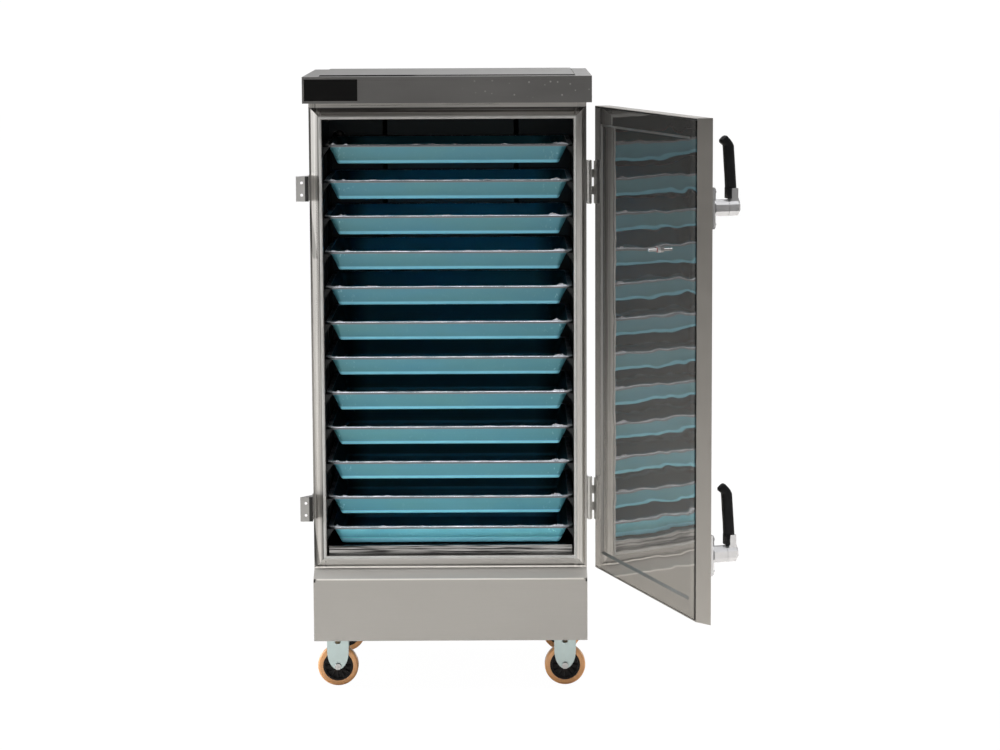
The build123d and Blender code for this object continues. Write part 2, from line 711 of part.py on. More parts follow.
# Door pan: outer sheet folded round four sides, with a bevelled lower edge
with BuildPart() as door_pan:
    with BuildSketch(door_side):
        with BuildLine():
            Polyline(
                (DOOR_SEAM, door_bottom),
                (DOOR_THICKNESS, door_bottom - DOOR_BEVEL),
                (DOOR_THICKNESS, door_top),
                (DOOR_SEAM, door_top),
                close=True,
            )
        make_face()
    extrude(amount=door_width)
    with BuildSketch(door_side.offset(SHEET)):
        with BuildLine():
            Polyline(
                (0, door_bottom + 2 * SHEET),
                (PANEL_DEPTH + DOOR_SEAM, door_bottom + SHEET),
                (DOOR_THICKNESS - SHEET, door_bottom - DOOR_BEVEL + 2 * SHEET),
                (DOOR_THICKNESS - SHEET, door_top - SHEET),
                (0, door_top - SHEET),
                close=True,
            )
        make_face()
    extrude(amount=door_width - 2 * SHEET, mode=Mode.SUBTRACT)
    with BuildSketch(door_inside):
        with Locations((GAUGE_ALONG, GAUGE_HEIGHT)):
            Circle(PROBE_RADIUS + PIPE_FIT)
    extrude(amount=-DOOR_THICKNESS, mode=Mode.SUBTRACT)
door_pan.part.label = "door_pan"
export_step(door_pan.part, "parts/door_pan.step")

# Door inner panel: pressed sheet with turned edges and a dished field
panel_width = door_width - 2 * (SHEET + PANEL_GAP)
panel_height = door_height - 2 * (2 * SHEET + PANEL_GAP)
panel_foot = DOOR_SEAM + PANEL_DEPTH
with BuildPart() as panel_hollow:
    with BuildSketch(door_inside.offset(-SHEET)):
        with Locations((door_width / 2, door_middle)):
            Rectangle(panel_width - 2 * SHEET, panel_height - 2 * SHEET)
    extrude(amount=-(panel_foot - SHEET))
    for depth, inset in ((SHEET, PANEL_BORDER - SHEET), (PANEL_RECESS + SHEET, PANEL_BORDER + PANEL_SPLAY - SHEET)):
        with BuildSketch(door_inside.offset(-depth)):
            with Locations((door_width / 2, door_middle)):
                Rectangle(door_width - 2 * inset, door_height - 2 * inset)
    loft(mode=Mode.SUBTRACT)
with BuildPart() as door_inner_panel:
    with BuildSketch(door_inside):
        with Locations((door_width / 2, door_middle)):
            Rectangle(panel_width, panel_height)
    extrude(amount=-panel_foot)
    for depth, inset in ((0.0, PANEL_BORDER), (PANEL_RECESS, PANEL_BORDER + PANEL_SPLAY)):
        with BuildSketch(door_inside.offset(-depth)):
            with Locations((door_width / 2, door_middle)):
                Rectangle(door_width - 2 * inset, door_height - 2 * inset)
    loft(mode=Mode.SUBTRACT)
    add(panel_hollow.part, mode=Mode.SUBTRACT)
    with BuildSketch(door_inside):
        with Locations((GAUGE_ALONG, GAUGE_HEIGHT)):
            Circle(PROBE_RADIUS + PIPE_FIT)
    extrude(amount=-DOOR_THICKNESS, mode=Mode.SUBTRACT)
door_inner_panel.part.label = "door_inner_panel"
export_step(door_inner_panel.part, "parts/door_inner_panel.step")

# Door insulation: foam between pan and panel
with BuildPart() as door_insulation:
    with BuildSketch(door_side.offset(SHEET)):
        with BuildLine():
            Polyline(
                (panel_foot, door_bottom + SHEET),
                (DOOR_THICKNESS - SHEET, door_bottom - DOOR_BEVEL + 2 * SHEET),
                (DOOR_THICKNESS - SHEET, door_top - SHEET),
                (panel_foot, door_top - SHEET),
                close=True,
            )
        make_face()
    extrude(amount=door_width - 2 * SHEET)
    add(panel_hollow.part)
    with BuildSketch(door_inside):
        with Locations((GAUGE_ALONG, GAUGE_HEIGHT)):
            Circle(PROBE_RADIUS + PIPE_FIT)
    extrude(amount=-DOOR_THICKNESS, mode=Mode.SUBTRACT)
door_insulation.part.label = "door_insulation"
export_step(door_insulation.part, "parts/door_insulation.step")

# Hinges: five knuckles on each pin, three on the cabinet's leaf and two on the door's cranked leaf
knuckle_pitch = HINGE_HEIGHT / HINGE_KNUCKLES
knuckle_length = knuckle_pitch - KNUCKLE_GAP
cabinet_knuckles = range(0, HINGE_KNUCKLES, 2)
door_knuckles = range(1, HINGE_KNUCKLES, 2)
leaf_relief = BARREL_RADIUS + KNUCKLE_GAP


def knuckle_bottom(height, number):
    """Underside of one knuckle of the hinge whose middle is at the given height."""
    return height - HINGE_HEIGHT / 2 + number * knuckle_pitch + KNUCKLE_GAP / 2


with BuildPart() as hinge_cabinet_leaves:
    for height in HINGE_HEIGHTS:
        with BuildSketch(level(height - HINGE_HEIGHT / 2)):
            with Locations((half_width + HINGE_PLATE / 2, front_y + leaf_relief + (HINGE_LEAF - leaf_relief) / 2)):
                Rectangle(HINGE_PLATE, HINGE_LEAF - leaf_relief)
        extrude(amount=HINGE_HEIGHT)
        for number in cabinet_knuckles:
            with BuildSketch(level(knuckle_bottom(height, number))):
                with Locations((half_width + HINGE_PLATE / 2, front_y + leaf_relief / 2)):
                    Rectangle(HINGE_PLATE, leaf_relief)
                with Locations((pin_x, pin_y)):
                    Circle(BARREL_RADIUS)
            extrude(amount=knuckle_length)
        with BuildSketch(level(height - HINGE_HEIGHT / 2)):
            with Locations((pin_x, pin_y)):
                Circle(PIN_RADIUS)
        extrude(amount=HINGE_HEIGHT)
hinge_cabinet_leaves.part.label = "hinge_cabinet_leaves"
export_step(hinge_cabinet_leaves.part, "parts/hinge_cabinet_leaves.step")

door_level = Plane(origin=door_inside.origin, x_dir=door_inside.x_dir, z_dir=(0, 0, 1))
pin_on_door = (-BARREL_STANDOFF, -DOOR_GAP)
crank_end = -DOOR_GAP + PIN_RADIUS
with BuildPart() as hinge_door_leaves:
    for height in HINGE_HEIGHTS:
        with BuildSketch(door_level.offset(height - HINGE_HEIGHT / 2)):
            with Locations((HINGE_DOOR_LEAF / 2, -HINGE_PLATE / 2)):
                Rectangle(HINGE_DOOR_LEAF, HINGE_PLATE)
        extrude(amount=HINGE_HEIGHT)
        for number in door_knuckles:
            with BuildSketch(door_level.offset(knuckle_bottom(height, number))):
                with Locations(pin_on_door):
                    Circle(BARREL_RADIUS)
                with BuildLine():
                    Polyline(
                        (0, 0),
                        (-BARREL_STANDOFF - HINGE_PLATE / 2, 0),
                        (-BARREL_STANDOFF - HINGE_PLATE / 2, crank_end),
                        (-BARREL_STANDOFF + HINGE_PLATE / 2, crank_end),
                        (-BARREL_STANDOFF + HINGE_PLATE / 2, -HINGE_PLATE),
                        (0, -HINGE_PLATE),
                        close=True,
                    )
                make_face()
                with Locations(pin_on_door):
                    Circle(PIN_RADIUS + PIN_CLEARANCE, mode=Mode.SUBTRACT)
            extrude(amount=knuckle_length)
hinge_door_leaves.part.label = "hinge_door_leaves"
export_step(hinge_door_leaves.part, "parts/hinge_door_leaves.step")

# Latches: bevelled base with a fixed boss, a turning hub with its arm, and the moulded grip
latch_side = Plane(
    origin=door_outside.from_local_coords((LATCH_INSET, 0, 0)), x_dir=door_outside.z_dir, z_dir=door_inside.x_dir
)
hub_face = LATCH_BASE_THICKNESS + HUB_FIXED
hub_end = hub_face + HUB_GROOVE + HUB_TURNING
arm_front = hub_end - LATCH_BASE_BEVEL
arm_back = arm_front - ARM_THICKNESS
grip_front = hub_end - GRIP_SETBACK
grip_back = grip_front - GRIP_THICKNESS
grip_profile = (
    (grip_back, ARM_RISE),
    (grip_front, ARM_RISE),
    (grip_front - GRIP_LEAN, ARM_RISE + 0.75 * GRIP_LENGTH),
    (grip_front - GRIP_SHOULDER, ARM_RISE + 0.9 * GRIP_LENGTH),
    (grip_back, ARM_RISE + GRIP_LENGTH),
    (grip_back - GRIP_HOOK, ARM_RISE + 0.92 * GRIP_LENGTH),
    (grip_back - GRIP_LEAN, ARM_RISE + 0.82 * GRIP_LENGTH),
)
with BuildPart() as latch_bases:
    with BuildSketch(door_outside):
        with Locations(*[(LATCH_INSET, height) for height in LATCH_HEIGHTS.values()]):
            Rectangle(LATCH_BASE_WIDTH, LATCH_BASE_HEIGHT)
    extrude(amount=LATCH_BASE_THICKNESS)
    outer_faces = latch_bases.faces().sort_by(Axis(door_outside.origin, door_outside.z_dir))[-len(LATCH_HEIGHTS) :]
    chamfer(outer_faces.edges(), length=LATCH_BASE_BEVEL)
    with BuildSketch(door_outside.offset(LATCH_BASE_THICKNESS)):
        with Locations(*[(LATCH_INSET, height) for height in LATCH_HEIGHTS.values()]):
            RegularPolygon(HUB_FLATS / 2, HUB_SIDES, major_radius=False, rotation=180 / HUB_SIDES)
    extrude(amount=HUB_FIXED)
    with BuildSketch(door_outside):
        with Locations(*[(LATCH_INSET, height) for height in LATCH_HEIGHTS.values()]):
            Circle(SPINDLE_RADIUS + PIN_CLEARANCE)
    extrude(amount=hub_end, mode=Mode.SUBTRACT)
latch_bases.part.label = "latch_bases"
export_step(latch_bases.part, "parts/latch_bases.step")

for name, height in LATCH_HEIGHTS.items():
    with BuildPart() as latch_lever:
        with BuildSketch(door_outside.offset(hub_face + HUB_GROOVE)):
            with Locations((LATCH_INSET, height)):
                RegularPolygon(HUB_FLATS / 2, HUB_SIDES, major_radius=False, rotation=180 / HUB_SIDES)
        extrude(amount=HUB_TURNING)
        outer_face = latch_lever.faces().sort_by(Axis(door_outside.origin, door_outside.z_dir))[-1]
        chamfer(outer_face.edges(), length=LATCH_BASE_BEVEL)
        with BuildSketch(latch_side):
            with BuildLine():
                Polyline(
                    (hub_end - HUB_TURNING + LATCH_BASE_BEVEL, height),
                    (hub_end, height),
                    (hub_end, height + ARM_KNEE),
                    (arm_front, height + ARM_SHOULDER),
                    (arm_front, height + ARM_RISE),
                    (arm_back, height + ARM_RISE),
                    (arm_back - ARM_FLARE, height + WEDGE_TOE),
                    close=True,
                )
            make_face()
        extrude(amount=ARM_WIDTH / 2, both=True)
        with BuildSketch(door_outside.offset(SHEET)):
            with Locations((LATCH_INSET, height)):
                Circle(SPINDLE_RADIUS)
        extrude(amount=hub_end - 2 * SHEET)
    latch_lever.part.label = f"latch_lever_{name}"
    export_step(latch_lever.part, f"parts/latch_lever_{name}.step")

    with BuildPart() as latch_grip:
        with BuildSketch(latch_side):
            with BuildLine():
                Polyline(*[(t, height + rise) for t, rise in grip_profile], close=True)
            make_face()
        extrude(amount=ARM_WIDTH / 2 + SHEET, both=True)
        side_faces = latch_grip.faces().filter_by(Axis(latch_side.origin, latch_side.z_dir))
        chamfer(side_faces.edges(), length=GRIP_BEVEL)
        with BuildSketch(latch_side):
            with BuildLine():
                Polyline(
                    (arm_back - WEDGE_WIDTH, height + ARM_RISE),
                    (arm_back, height + ARM_RISE),
                    (arm_back - ARM_FLARE, height + WEDGE_TOE),
                    (arm_back - ARM_FLARE - WEDGE_STEP, height + WEDGE_HEEL),
                    close=True,
                )
            make_face()
        extrude(amount=ARM_WIDTH / 2 - SHEET, both=True)
    latch_grip.part.label = f"latch_grip_{name}"
    export_step(latch_grip.part, f"parts/latch_grip_{name}.step")

# Keepers: angle brackets on the left side wall with a bent gusset on top
keeper_face = front_y - KEEPER_REACH
keeper_hole_x = -half_width - KEEPER_THICKNESS - KEEPER_WIDTH / 2
with BuildPart() as latch_keepers:
    for height in LATCH_HEIGHTS.values():
        keeper_bottom = height + KEEPER_LIFT - KEEPER_HEIGHT / 2
        with BuildSketch(level(keeper_bottom)):
            with Locations((-half_width - KEEPER_THICKNESS / 2, keeper_face + KEEPER_LEG / 2)):
                Rectangle(KEEPER_THICKNESS, KEEPER_LEG)
            with Locations((-half_width - (KEEPER_WIDTH + KEEPER_THICKNESS) / 2, keeper_face + KEEPER_THICKNESS / 2)):
                Rectangle(KEEPER_WIDTH + KEEPER_THICKNESS, KEEPER_THICKNESS)
        extrude(amount=KEEPER_HEIGHT)
        with BuildSketch(level(keeper_bottom + KEEPER_HEIGHT)):
            with BuildLine():
                Polyline(
                    (-half_width, keeper_face),
                    (-half_width, keeper_face + KEEPER_REACH),
                    (-half_width - KEEPER_WIDTH - KEEPER_THICKNESS, keeper_face),
                    close=True,
                )
            make_face()
        extrude(amount=-SHEET)
        with BuildSketch(front_plane(keeper_face)):
            with Locations((keeper_hole_x, keeper_bottom + KEEPER_HEIGHT / 2)):
                with GridLocations(1, KEEPER_HOLE_SPACING, 1, 2):
                    Circle(KEEPER_HOLE)
        extrude(amount=-KEEPER_THICKNESS, mode=Mode.SUBTRACT)
latch_keepers.part.label = "latch_keepers"
export_step(latch_keepers.part, "parts/latch_keepers.step")

# Thermometer: dial outside, probe through the door, collar against the inner panel
with BuildPart() as thermometer:
    with BuildSketch(door_inside.offset(-DOOR_THICKNESS)):
        with Locations((GAUGE_ALONG, GAUGE_HEIGHT)):
            Circle(GAUGE_RADIUS)
    extrude(amount=-GAUGE_THICKNESS)
    with BuildSketch(door_inside.offset(-DOOR_THICKNESS)):
        with Locations((GAUGE_ALONG, GAUGE_HEIGHT)):
            Circle(PROBE_RADIUS)
    extrude(amount=DOOR_THICKNESS + PROBE_LENGTH)
    with BuildSketch(door_inside.offset(-PANEL_RECESS)):
        with Locations((GAUGE_ALONG, GAUGE_HEIGHT)):
            RegularPolygon(PROBE_COLLAR, 6)
    extrude(amount=PROBE_COLLAR)
thermometer.part.label = "thermometer"
export_step(thermometer.part, "parts/thermometer.step")

# Casters: fixed forks on the base pads, each with a wheel of a moulded core and a bonded tread
cheek_offset = HUB_LENGTH / 2 + FORK_GAP + FORK_SHEET / 2
fork_top = CASTER_HEIGHT - FORK_PLATE_THICKNESS
fork_low = WHEEL_RADIUS - FORK_TIP
slot_z = fork_top - FORK_SLOT_DROP
corners = {
    "front_left": (-caster_x, -caster_y),
    "front_right": (caster_x, -caster_y),
    "rear_left": (-caster_x, caster_y),
    "rear_right": (caster_x, caster_y),
}
for name, (x, y) in corners.items():
    with BuildPart() as caster_fork:
        with BuildSketch(level(fork_top)):
            with Locations((x, y)):
                Rectangle(FORK_PLATE_WIDTH, FORK_PLATE_DEPTH)
                with GridLocations(BOLT_PITCH_X, BOLT_PITCH_Y, 2, 2):
                    Circle(BOLT_RADIUS + PIPE_FIT, mode=Mode.SUBTRACT)
        extrude(amount=FORK_PLATE_THICKNESS)
        for offset in (-cheek_offset, cheek_offset):
            with BuildSketch(front_plane(y + offset - FORK_SHEET / 2)):
                with BuildLine():
                    EllipticalCenterArc(
                        (x, FORK_SHOULDER), FORK_WIDTH / 2, FORK_SHOULDER - fork_low, start_angle=180, arc_size=180
                    )
                    Polyline(
                        (x + FORK_WIDTH / 2, FORK_SHOULDER),
                        (x + FORK_WIDTH / 2, fork_top),
                        (x - FORK_WIDTH / 2, fork_top),
                        (x - FORK_WIDTH / 2, FORK_SHOULDER),
                    )
                make_face()
                with Locations((x, slot_z)):
                    SlotOverall(FORK_SLOT_LENGTH, FORK_SLOT_WIDTH, mode=Mode.SUBTRACT)
                with Locations((x, WHEEL_RADIUS)):
                    Circle(AXLE_RADIUS + AXLE_CLEARANCE, mode=Mode.SUBTRACT)
            extrude(amount=-FORK_SHEET)
    caster_fork.part.label = f"caster_fork_{name}"
    export_step(caster_fork.part, f"parts/caster_fork_{name}.step")

for name, (x, y) in corners.items():
    with BuildPart() as wheel_core:
        with BuildSketch(front_plane(y - WHEEL_WIDTH / 2)):
            with Locations((x, WHEEL_RADIUS)):
                Circle(CORE_RADIUS)
        extrude(amount=-WHEEL_WIDTH)
        for face_y, into in ((y - WHEEL_WIDTH / 2, -1), (y + WHEEL_WIDTH / 2, 1)):
            with BuildSketch(front_plane(face_y)):
                with Locations((x, WHEEL_RADIUS)):
                    Circle(CORE_RADIUS - CORE_RIM)
                    Circle(HUB_RADIUS, mode=Mode.SUBTRACT)
            extrude(amount=into * CORE_DISH, mode=Mode.SUBTRACT)
        with BuildSketch(front_plane(y - HUB_LENGTH / 2)):
            with Locations((x, WHEEL_RADIUS)):
                Circle(HUB_RADIUS)
        extrude(amount=-HUB_LENGTH)
        with BuildSketch(front_plane(y - HUB_LENGTH / 2)):
            with Locations((x, WHEEL_RADIUS)):
                Circle(AXLE_RADIUS + AXLE_CLEARANCE)
        extrude(amount=-HUB_LENGTH, mode=Mode.SUBTRACT)
    wheel_core.part.label = f"wheel_core_{name}"
    export_step(wheel_core.part, f"parts/wheel_core_{name}.step")

    with BuildPart() as wheel_tread:
        with BuildSketch(front_plane(y - WHEEL_WIDTH / 2)):
            with Locations((x, WHEEL_RADIUS)):
                Circle(WHEEL_RADIUS)
        extrude(amount=-WHEEL_WIDTH)
        fillet(wheel_tread.edges(), radius=TREAD_ROUND)
        with BuildSketch(front_plane(y - WHEEL_WIDTH / 2)):
            with Locations((x, WHEEL_RADIUS)):
                Circle(CORE_RADIUS)
        extrude(amount=-WHEEL_WIDTH, mode=Mode.SUBTRACT)
    wheel_tread.part.label = f"wheel_tread_{name}"
    export_step(wheel_tread.part, f"parts/wheel_tread_{name}.step")

# Caster bolts: the four axles with heads and nuts, and the sixteen plate bolts
cheek_outer = cheek_offset + FORK_SHEET / 2
pad_top = CASTER_HEIGHT + ANGLE_THICKNESS
with BuildPart() as caster_bolts:
    for x, y in corners.values():
        with BuildSketch(front_plane(y - cheek_outer)):
            with Locations((x, WHEEL_RADIUS)):
                Circle(AXLE_RADIUS)
        extrude(amount=-2 * cheek_outer)
        for face_y, out in ((y - cheek_outer, 1), (y + cheek_outer, -1)):
            with BuildSketch(front_plane(face_y)):
                with Locations((x, WHEEL_RADIUS)):
                    RegularPolygon(AXLE_HEAD, 6)
            extrude(amount=out * AXLE_HEAD_THICKNESS)
        with BuildSketch(level(fork_top)):
            with Locations((x, y)):
                with GridLocations(BOLT_PITCH_X, BOLT_PITCH_Y, 2, 2):
                    Circle(BOLT_RADIUS)
        extrude(amount=pad_top - fork_top)
        for face_z, out in ((fork_top, -1), (pad_top, 1)):
            with BuildSketch(level(face_z)):
                with Locations((x, y)):
                    with GridLocations(BOLT_PITCH_X, BOLT_PITCH_Y, 2, 2):
                        RegularPolygon(BOLT_HEAD, 6)
            extrude(amount=out * BOLT_HEAD_THICKNESS)
caster_bolts.part.label = "caster_bolts"
export_step(caster_bolts.part, "parts/caster_bolts.step")

# Feed box: open water box on the back with a pipe into the tank and a pinned lid
feed_top = FEED_BOTTOM + FEED_HEIGHT
feed_y = back_y + FEED_DEPTH / 2
lid_axis = (back_y + SHEET + LID_BARREL, feed_top + LID_CLEARANCE + LID_BARREL)
lid_back = back_y + 2 * SHEET
with BuildPart() as feed_box:
    with BuildSketch(level(FEED_BOTTOM)):
        with Locations((feed_x, feed_y)):
            Rectangle(FEED_WIDTH, FEED_DEPTH)
    extrude(amount=FEED_HEIGHT)
    with BuildSketch(level(FEED_BOTTOM + SHEET)):
        with Locations((feed_x, feed_y)):
            Rectangle(FEED_WIDTH - 2 * SHEET, FEED_DEPTH - 2 * SHEET)
    extrude(amount=FEED_HEIGHT, mode=Mode.SUBTRACT)
    with BuildSketch(front_plane(back_y + SHEET)):
        with Locations((feed_x, feed_pipe_z)):
            Circle(PIPE_RADIUS)
    extrude(amount=back_y + SHEET - (tank_back - 2 * SHEET))
    with BuildSketch(front_plane(back_y + SHEET)):
        with Locations((feed_x, feed_pipe_z)):
            Circle(PIPE_RADIUS - PIPE_WALL)
    extrude(amount=back_y + SHEET - (tank_back - 2 * SHEET), mode=Mode.SUBTRACT)
    for side in (-1, 1):
        ear_x = feed_x + side * (FEED_WIDTH / 2 - LID_EAR / 2)
        with BuildSketch(side_plane(ear_x - LID_EAR / 2)):
            with Locations(lid_axis):
                Circle(LID_BARREL)
            with Locations(((back_y + lid_axis[0]) / 2, (feed_top + lid_axis[1]) / 2)):
                Rectangle(lid_axis[0] - back_y, lid_axis[1] - feed_top)
        extrude(amount=LID_EAR)
    with BuildSketch(side_plane(feed_x - FEED_WIDTH / 2)):
        with Locations(lid_axis):
            Circle(LID_PIN)
    extrude(amount=FEED_WIDTH)
feed_box.part.label = "feed_box"
export_step(feed_box.part, "parts/feed_box.step")

lid_half = FEED_WIDTH / 2 + LID_CLEARANCE + SHEET
lid_front = back_y + FEED_DEPTH + LID_CLEARANCE + SHEET
lid_under = feed_top + LID_CLEARANCE
with BuildPart() as feed_box_lid:
    with BuildSketch(level(lid_under - LID_FLANGE)):
        with Locations((feed_x, (lid_back + lid_front) / 2)):
            Rectangle(2 * lid_half, lid_front - lid_back)
    extrude(amount=LID_FLANGE + SHEET)
    with BuildSketch(level(lid_under - LID_FLANGE)):
        with Locations((feed_x, (lid_back + lid_front - SHEET) / 2)):
            Rectangle(2 * (lid_half - SHEET), lid_front - lid_back - SHEET)
    extrude(amount=LID_FLANGE, mode=Mode.SUBTRACT)
    for side in (-1, 1):
        with BuildSketch(level(lid_under)):
            with Locations((feed_x + side * (FEED_WIDTH - LID_EAR) / 2, lid_axis[0])):
                Rectangle(LID_EAR + 2 * KNUCKLE_GAP, 2 * (LID_BARREL + KNUCKLE_GAP))
        extrude(amount=SHEET, mode=Mode.SUBTRACT)
    with BuildSketch(side_plane(feed_x - FEED_WIDTH / 2 + LID_EAR + KNUCKLE_GAP)):
        with Locations(lid_axis):
            Circle(LID_BARREL)
    extrude(amount=FEED_WIDTH - 2 * (LID_EAR + KNUCKLE_GAP))
    with BuildSketch(side_plane(feed_x - lid_half)):
        with Locations(lid_axis):
            Circle(LID_PIN + PIN_CLEARANCE)
    extrude(amount=2 * lid_half, mode=Mode.SUBTRACT)
feed_box_lid.part.label = "feed_box_lid"
export_step(feed_box_lid.part, "parts/feed_box_lid.step")

# Float valve: inlet body on the feed box's left wall, with a clevis for the float's arm
valve_z = feed_top - VALVE_DROP
valve_left = feed_x - FEED_WIDTH / 2
pivot_x = valve_left + VALVE_LENGTH
with BuildPart() as float_valve:
    with BuildSketch(side_plane(valve_left + SHEET)):
        with Locations((feed_y, valve_z)):
            Circle(VALVE_RADIUS)
    extrude(amount=VALVE_LENGTH - SHEET - VALVE_RADIUS)
    with BuildSketch(side_plane(valve_left)):
        with Locations((feed_y, valve_z)):
            RegularPolygon(VALVE_RADIUS + PIPE_WALL, 6)
    extrude(amount=-VALVE_RADIUS)
    with BuildSketch(side_plane(valve_left)):
        with Locations((feed_y, valve_z)):
            Circle(VALVE_RADIUS - PIPE_WALL)
    extrude(amount=-3 * VALVE_RADIUS)
    for side in (-1, 1):
        with BuildSketch(front_plane(feed_y + side * (CLEVIS_GAP + CLEVIS_EAR) / 2 - CLEVIS_EAR / 2)):
            with Locations((pivot_x, valve_z)):
                Circle(2 * PIVOT_RADIUS)
            with Locations((pivot_x - VALVE_RADIUS / 2, valve_z)):
                Rectangle(VALVE_RADIUS, 4 * PIVOT_RADIUS)
        extrude(amount=-CLEVIS_EAR)
    with BuildSketch(front_plane(feed_y - CLEVIS_GAP / 2 - CLEVIS_EAR)):
        with Locations((pivot_x, valve_z)):
            Circle(PIVOT_RADIUS)
    extrude(amount=-(CLEVIS_GAP + 2 * CLEVIS_EAR))
float_valve.part.label = "float_valve"
export_step(float_valve.part, "parts/float_valve.step")

eye_width = CLEVIS_GAP - 2 * KNUCKLE_GAP
with BuildPart() as float_arm:
    with BuildSketch(front_plane(feed_y - eye_width / 2)):
        with Locations((pivot_x, valve_z)):
            Circle(2 * PIVOT_RADIUS)
    extrude(amount=-eye_width)
    with BuildSketch(side_plane(pivot_x)):
        with Locations((feed_y, valve_z)):
            Circle(FLOAT_ROD)
    extrude(amount=FLOAT_ARM)
    with Locations((pivot_x + FLOAT_ARM, feed_y, valve_z)):
        Sphere(FLOAT_RADIUS)
    with BuildSketch(front_plane(feed_y - eye_width / 2)):
        with Locations((pivot_x, valve_z)):
            Circle(PIVOT_RADIUS + PIN_CLEARANCE)
    extrude(amount=-eye_width, mode=Mode.SUBTRACT)
float_arm.part.label = "float_arm"
export_step(float_arm.part, "parts/float_arm.step")

# Drain valve: ball valve on a pipe from the tank's foot, with a lever on its stem
drain_start = tank_back - 2 * SHEET
drain_body_y = back_y + DRAIN_BODY + 2 * SHEET
stem_top = drain_z + DRAIN_BODY + STEM_RISE
with BuildPart() as drain_valve:
    with BuildSketch(front_plane(drain_start)):
        with Locations((drain_x, drain_z)):
            Circle(DRAIN_RADIUS)
    extrude(amount=-DRAIN_LENGTH)
    with BuildSketch(front_plane(drain_body_y - DRAIN_BODY)):
        with Locations((drain_x, drain_z)):
            RegularPolygon(DRAIN_BODY, HUB_SIDES, major_radius=False, rotation=180 / HUB_SIDES)
    extrude(amount=-2 * DRAIN_BODY)
    with BuildSketch(front_plane(drain_start + DRAIN_LENGTH)):
        with Locations((drain_x, drain_z)):
            Circle(DRAIN_RADIUS - PIPE_WALL)
    extrude(amount=drain_start + DRAIN_LENGTH - drain_body_y - DRAIN_RADIUS, mode=Mode.SUBTRACT)
    with BuildSketch(level(drain_z)):
        with Locations((drain_x, drain_body_y)):
            Circle(STEM_RADIUS)
    extrude(amount=stem_top - drain_z)
drain_valve.part.label = "drain_valve"
export_step(drain_valve.part, "parts/drain_valve.step")

lever_seat = drain_z + DRAIN_BODY + KNUCKLE_GAP
with BuildPart() as drain_lever:
    with BuildSketch(level(lever_seat)):
        with Locations((drain_x + DRAIN_LEVER / 2, drain_body_y)):
            Rectangle(DRAIN_LEVER, DRAIN_LEVER_WIDTH)
        with Locations((drain_x, drain_body_y)):
            Circle(DRAIN_LEVER_WIDTH / 2)
        with Locations((drain_x + DRAIN_LEVER, drain_body_y)):
            Circle(DRAIN_LEVER_WIDTH / 2)
        with Locations((drain_x, drain_body_y)):
            Circle(STEM_RADIUS + PIN_CLEARANCE, mode=Mode.SUBTRACT)
    extrude(amount=ANGLE_THICKNESS)
drain_lever.part.label = "drain_lever"
export_step(drain_lever.part, "parts/drain_lever.step")

# Steam vent: bent pipe through the back wall, open at both ends
vent_start = liner_back - RISER_GAP
with BuildPart() as steam_vent:
    with BuildLine(side_plane(vent_x)) as vent_path:
        Line((vent_start, vent_z), (back_y + VENT_REACH, vent_z))
        CenterArc((back_y + VENT_REACH, vent_z - VENT_BEND), VENT_BEND, 90, -90)
        Line((back_y + VENT_REACH + VENT_BEND, vent_z - VENT_BEND), (back_y + VENT_REACH + VENT_BEND, vent_z - 2 * VENT_BEND))
    with BuildSketch(front_plane(vent_start)):
        with Locations((vent_x, vent_z)):
            Circle(VENT_RADIUS)
            Circle(VENT_RADIUS - SHEET, mode=Mode.SUBTRACT)
    sweep(path=vent_path.wire())
steam_vent.part.label = "steam_vent"
export_step(steam_vent.part, "parts/steam_vent.step")

# Wiring box: cover over the heater's terminals with a gland in its floor
wiring_bottom = base_bottom + WIRING_LIFT
wiring_z = wiring_bottom + WIRING_HEIGHT / 2
gland_y = back_y + WIRING_DEPTH / 2
with BuildPart() as wiring_box:
    with BuildSketch(front_plane(back_y)):
        with Locations((0, wiring_z)):
            Rectangle(WIRING_WIDTH, WIRING_HEIGHT)
    extrude(amount=-WIRING_DEPTH)
    with BuildSketch(front_plane(back_y)):
        with Locations((0, wiring_z)):
            Rectangle(WIRING_WIDTH - 2 * SHEET, WIRING_HEIGHT - 2 * SHEET)
    extrude(amount=-(WIRING_DEPTH - SHEET), mode=Mode.SUBTRACT)
    with BuildSketch(level(wiring_bottom)):
        with Locations((WIRING_WIDTH / 4, gland_y)):
            RegularPolygon(GLAND_RADIUS, 6)
    extrude(amount=-GLAND_LENGTH / 2)
    with BuildSketch(level(wiring_bottom + SHEET)):
        with Locations((WIRING_WIDTH / 4, gland_y)):
            Circle(GLAND_RADIUS - PIPE_WALL)
    extrude(amount=-GLAND_LENGTH)
    with BuildSketch(level(wiring_bottom + SHEET)):
        with Locations((WIRING_WIDTH / 4, gland_y)):
            Circle(GLAND_RADIUS / 2)
    extrude(amount=-GLAND_LENGTH, mode=Mode.SUBTRACT)
wiring_box.part.label = "wiring_box"
export_step(wiring_box.part, "parts/wiring_box.step")
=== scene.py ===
"""Dresses the rice steamer cabinet: finishes, drawn trays, latches, wheels, fasteners, studio and camera."""
from __future__ import annotations

import logging
import math
from dataclasses import dataclass, field
from enum import Enum
from typing import Any, ClassVar, Sequence

import bpy
import numpy as np
from mathutils import Matrix, Vector


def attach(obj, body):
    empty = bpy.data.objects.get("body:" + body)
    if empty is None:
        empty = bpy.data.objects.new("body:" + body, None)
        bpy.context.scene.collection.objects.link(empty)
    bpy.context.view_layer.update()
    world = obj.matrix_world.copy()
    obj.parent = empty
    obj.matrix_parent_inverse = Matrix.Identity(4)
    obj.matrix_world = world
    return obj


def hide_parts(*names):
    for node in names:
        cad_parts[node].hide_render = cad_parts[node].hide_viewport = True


logging.basicConfig(level=logging.INFO, format="%(message)s")
LOG = logging.getLogger("steamer")

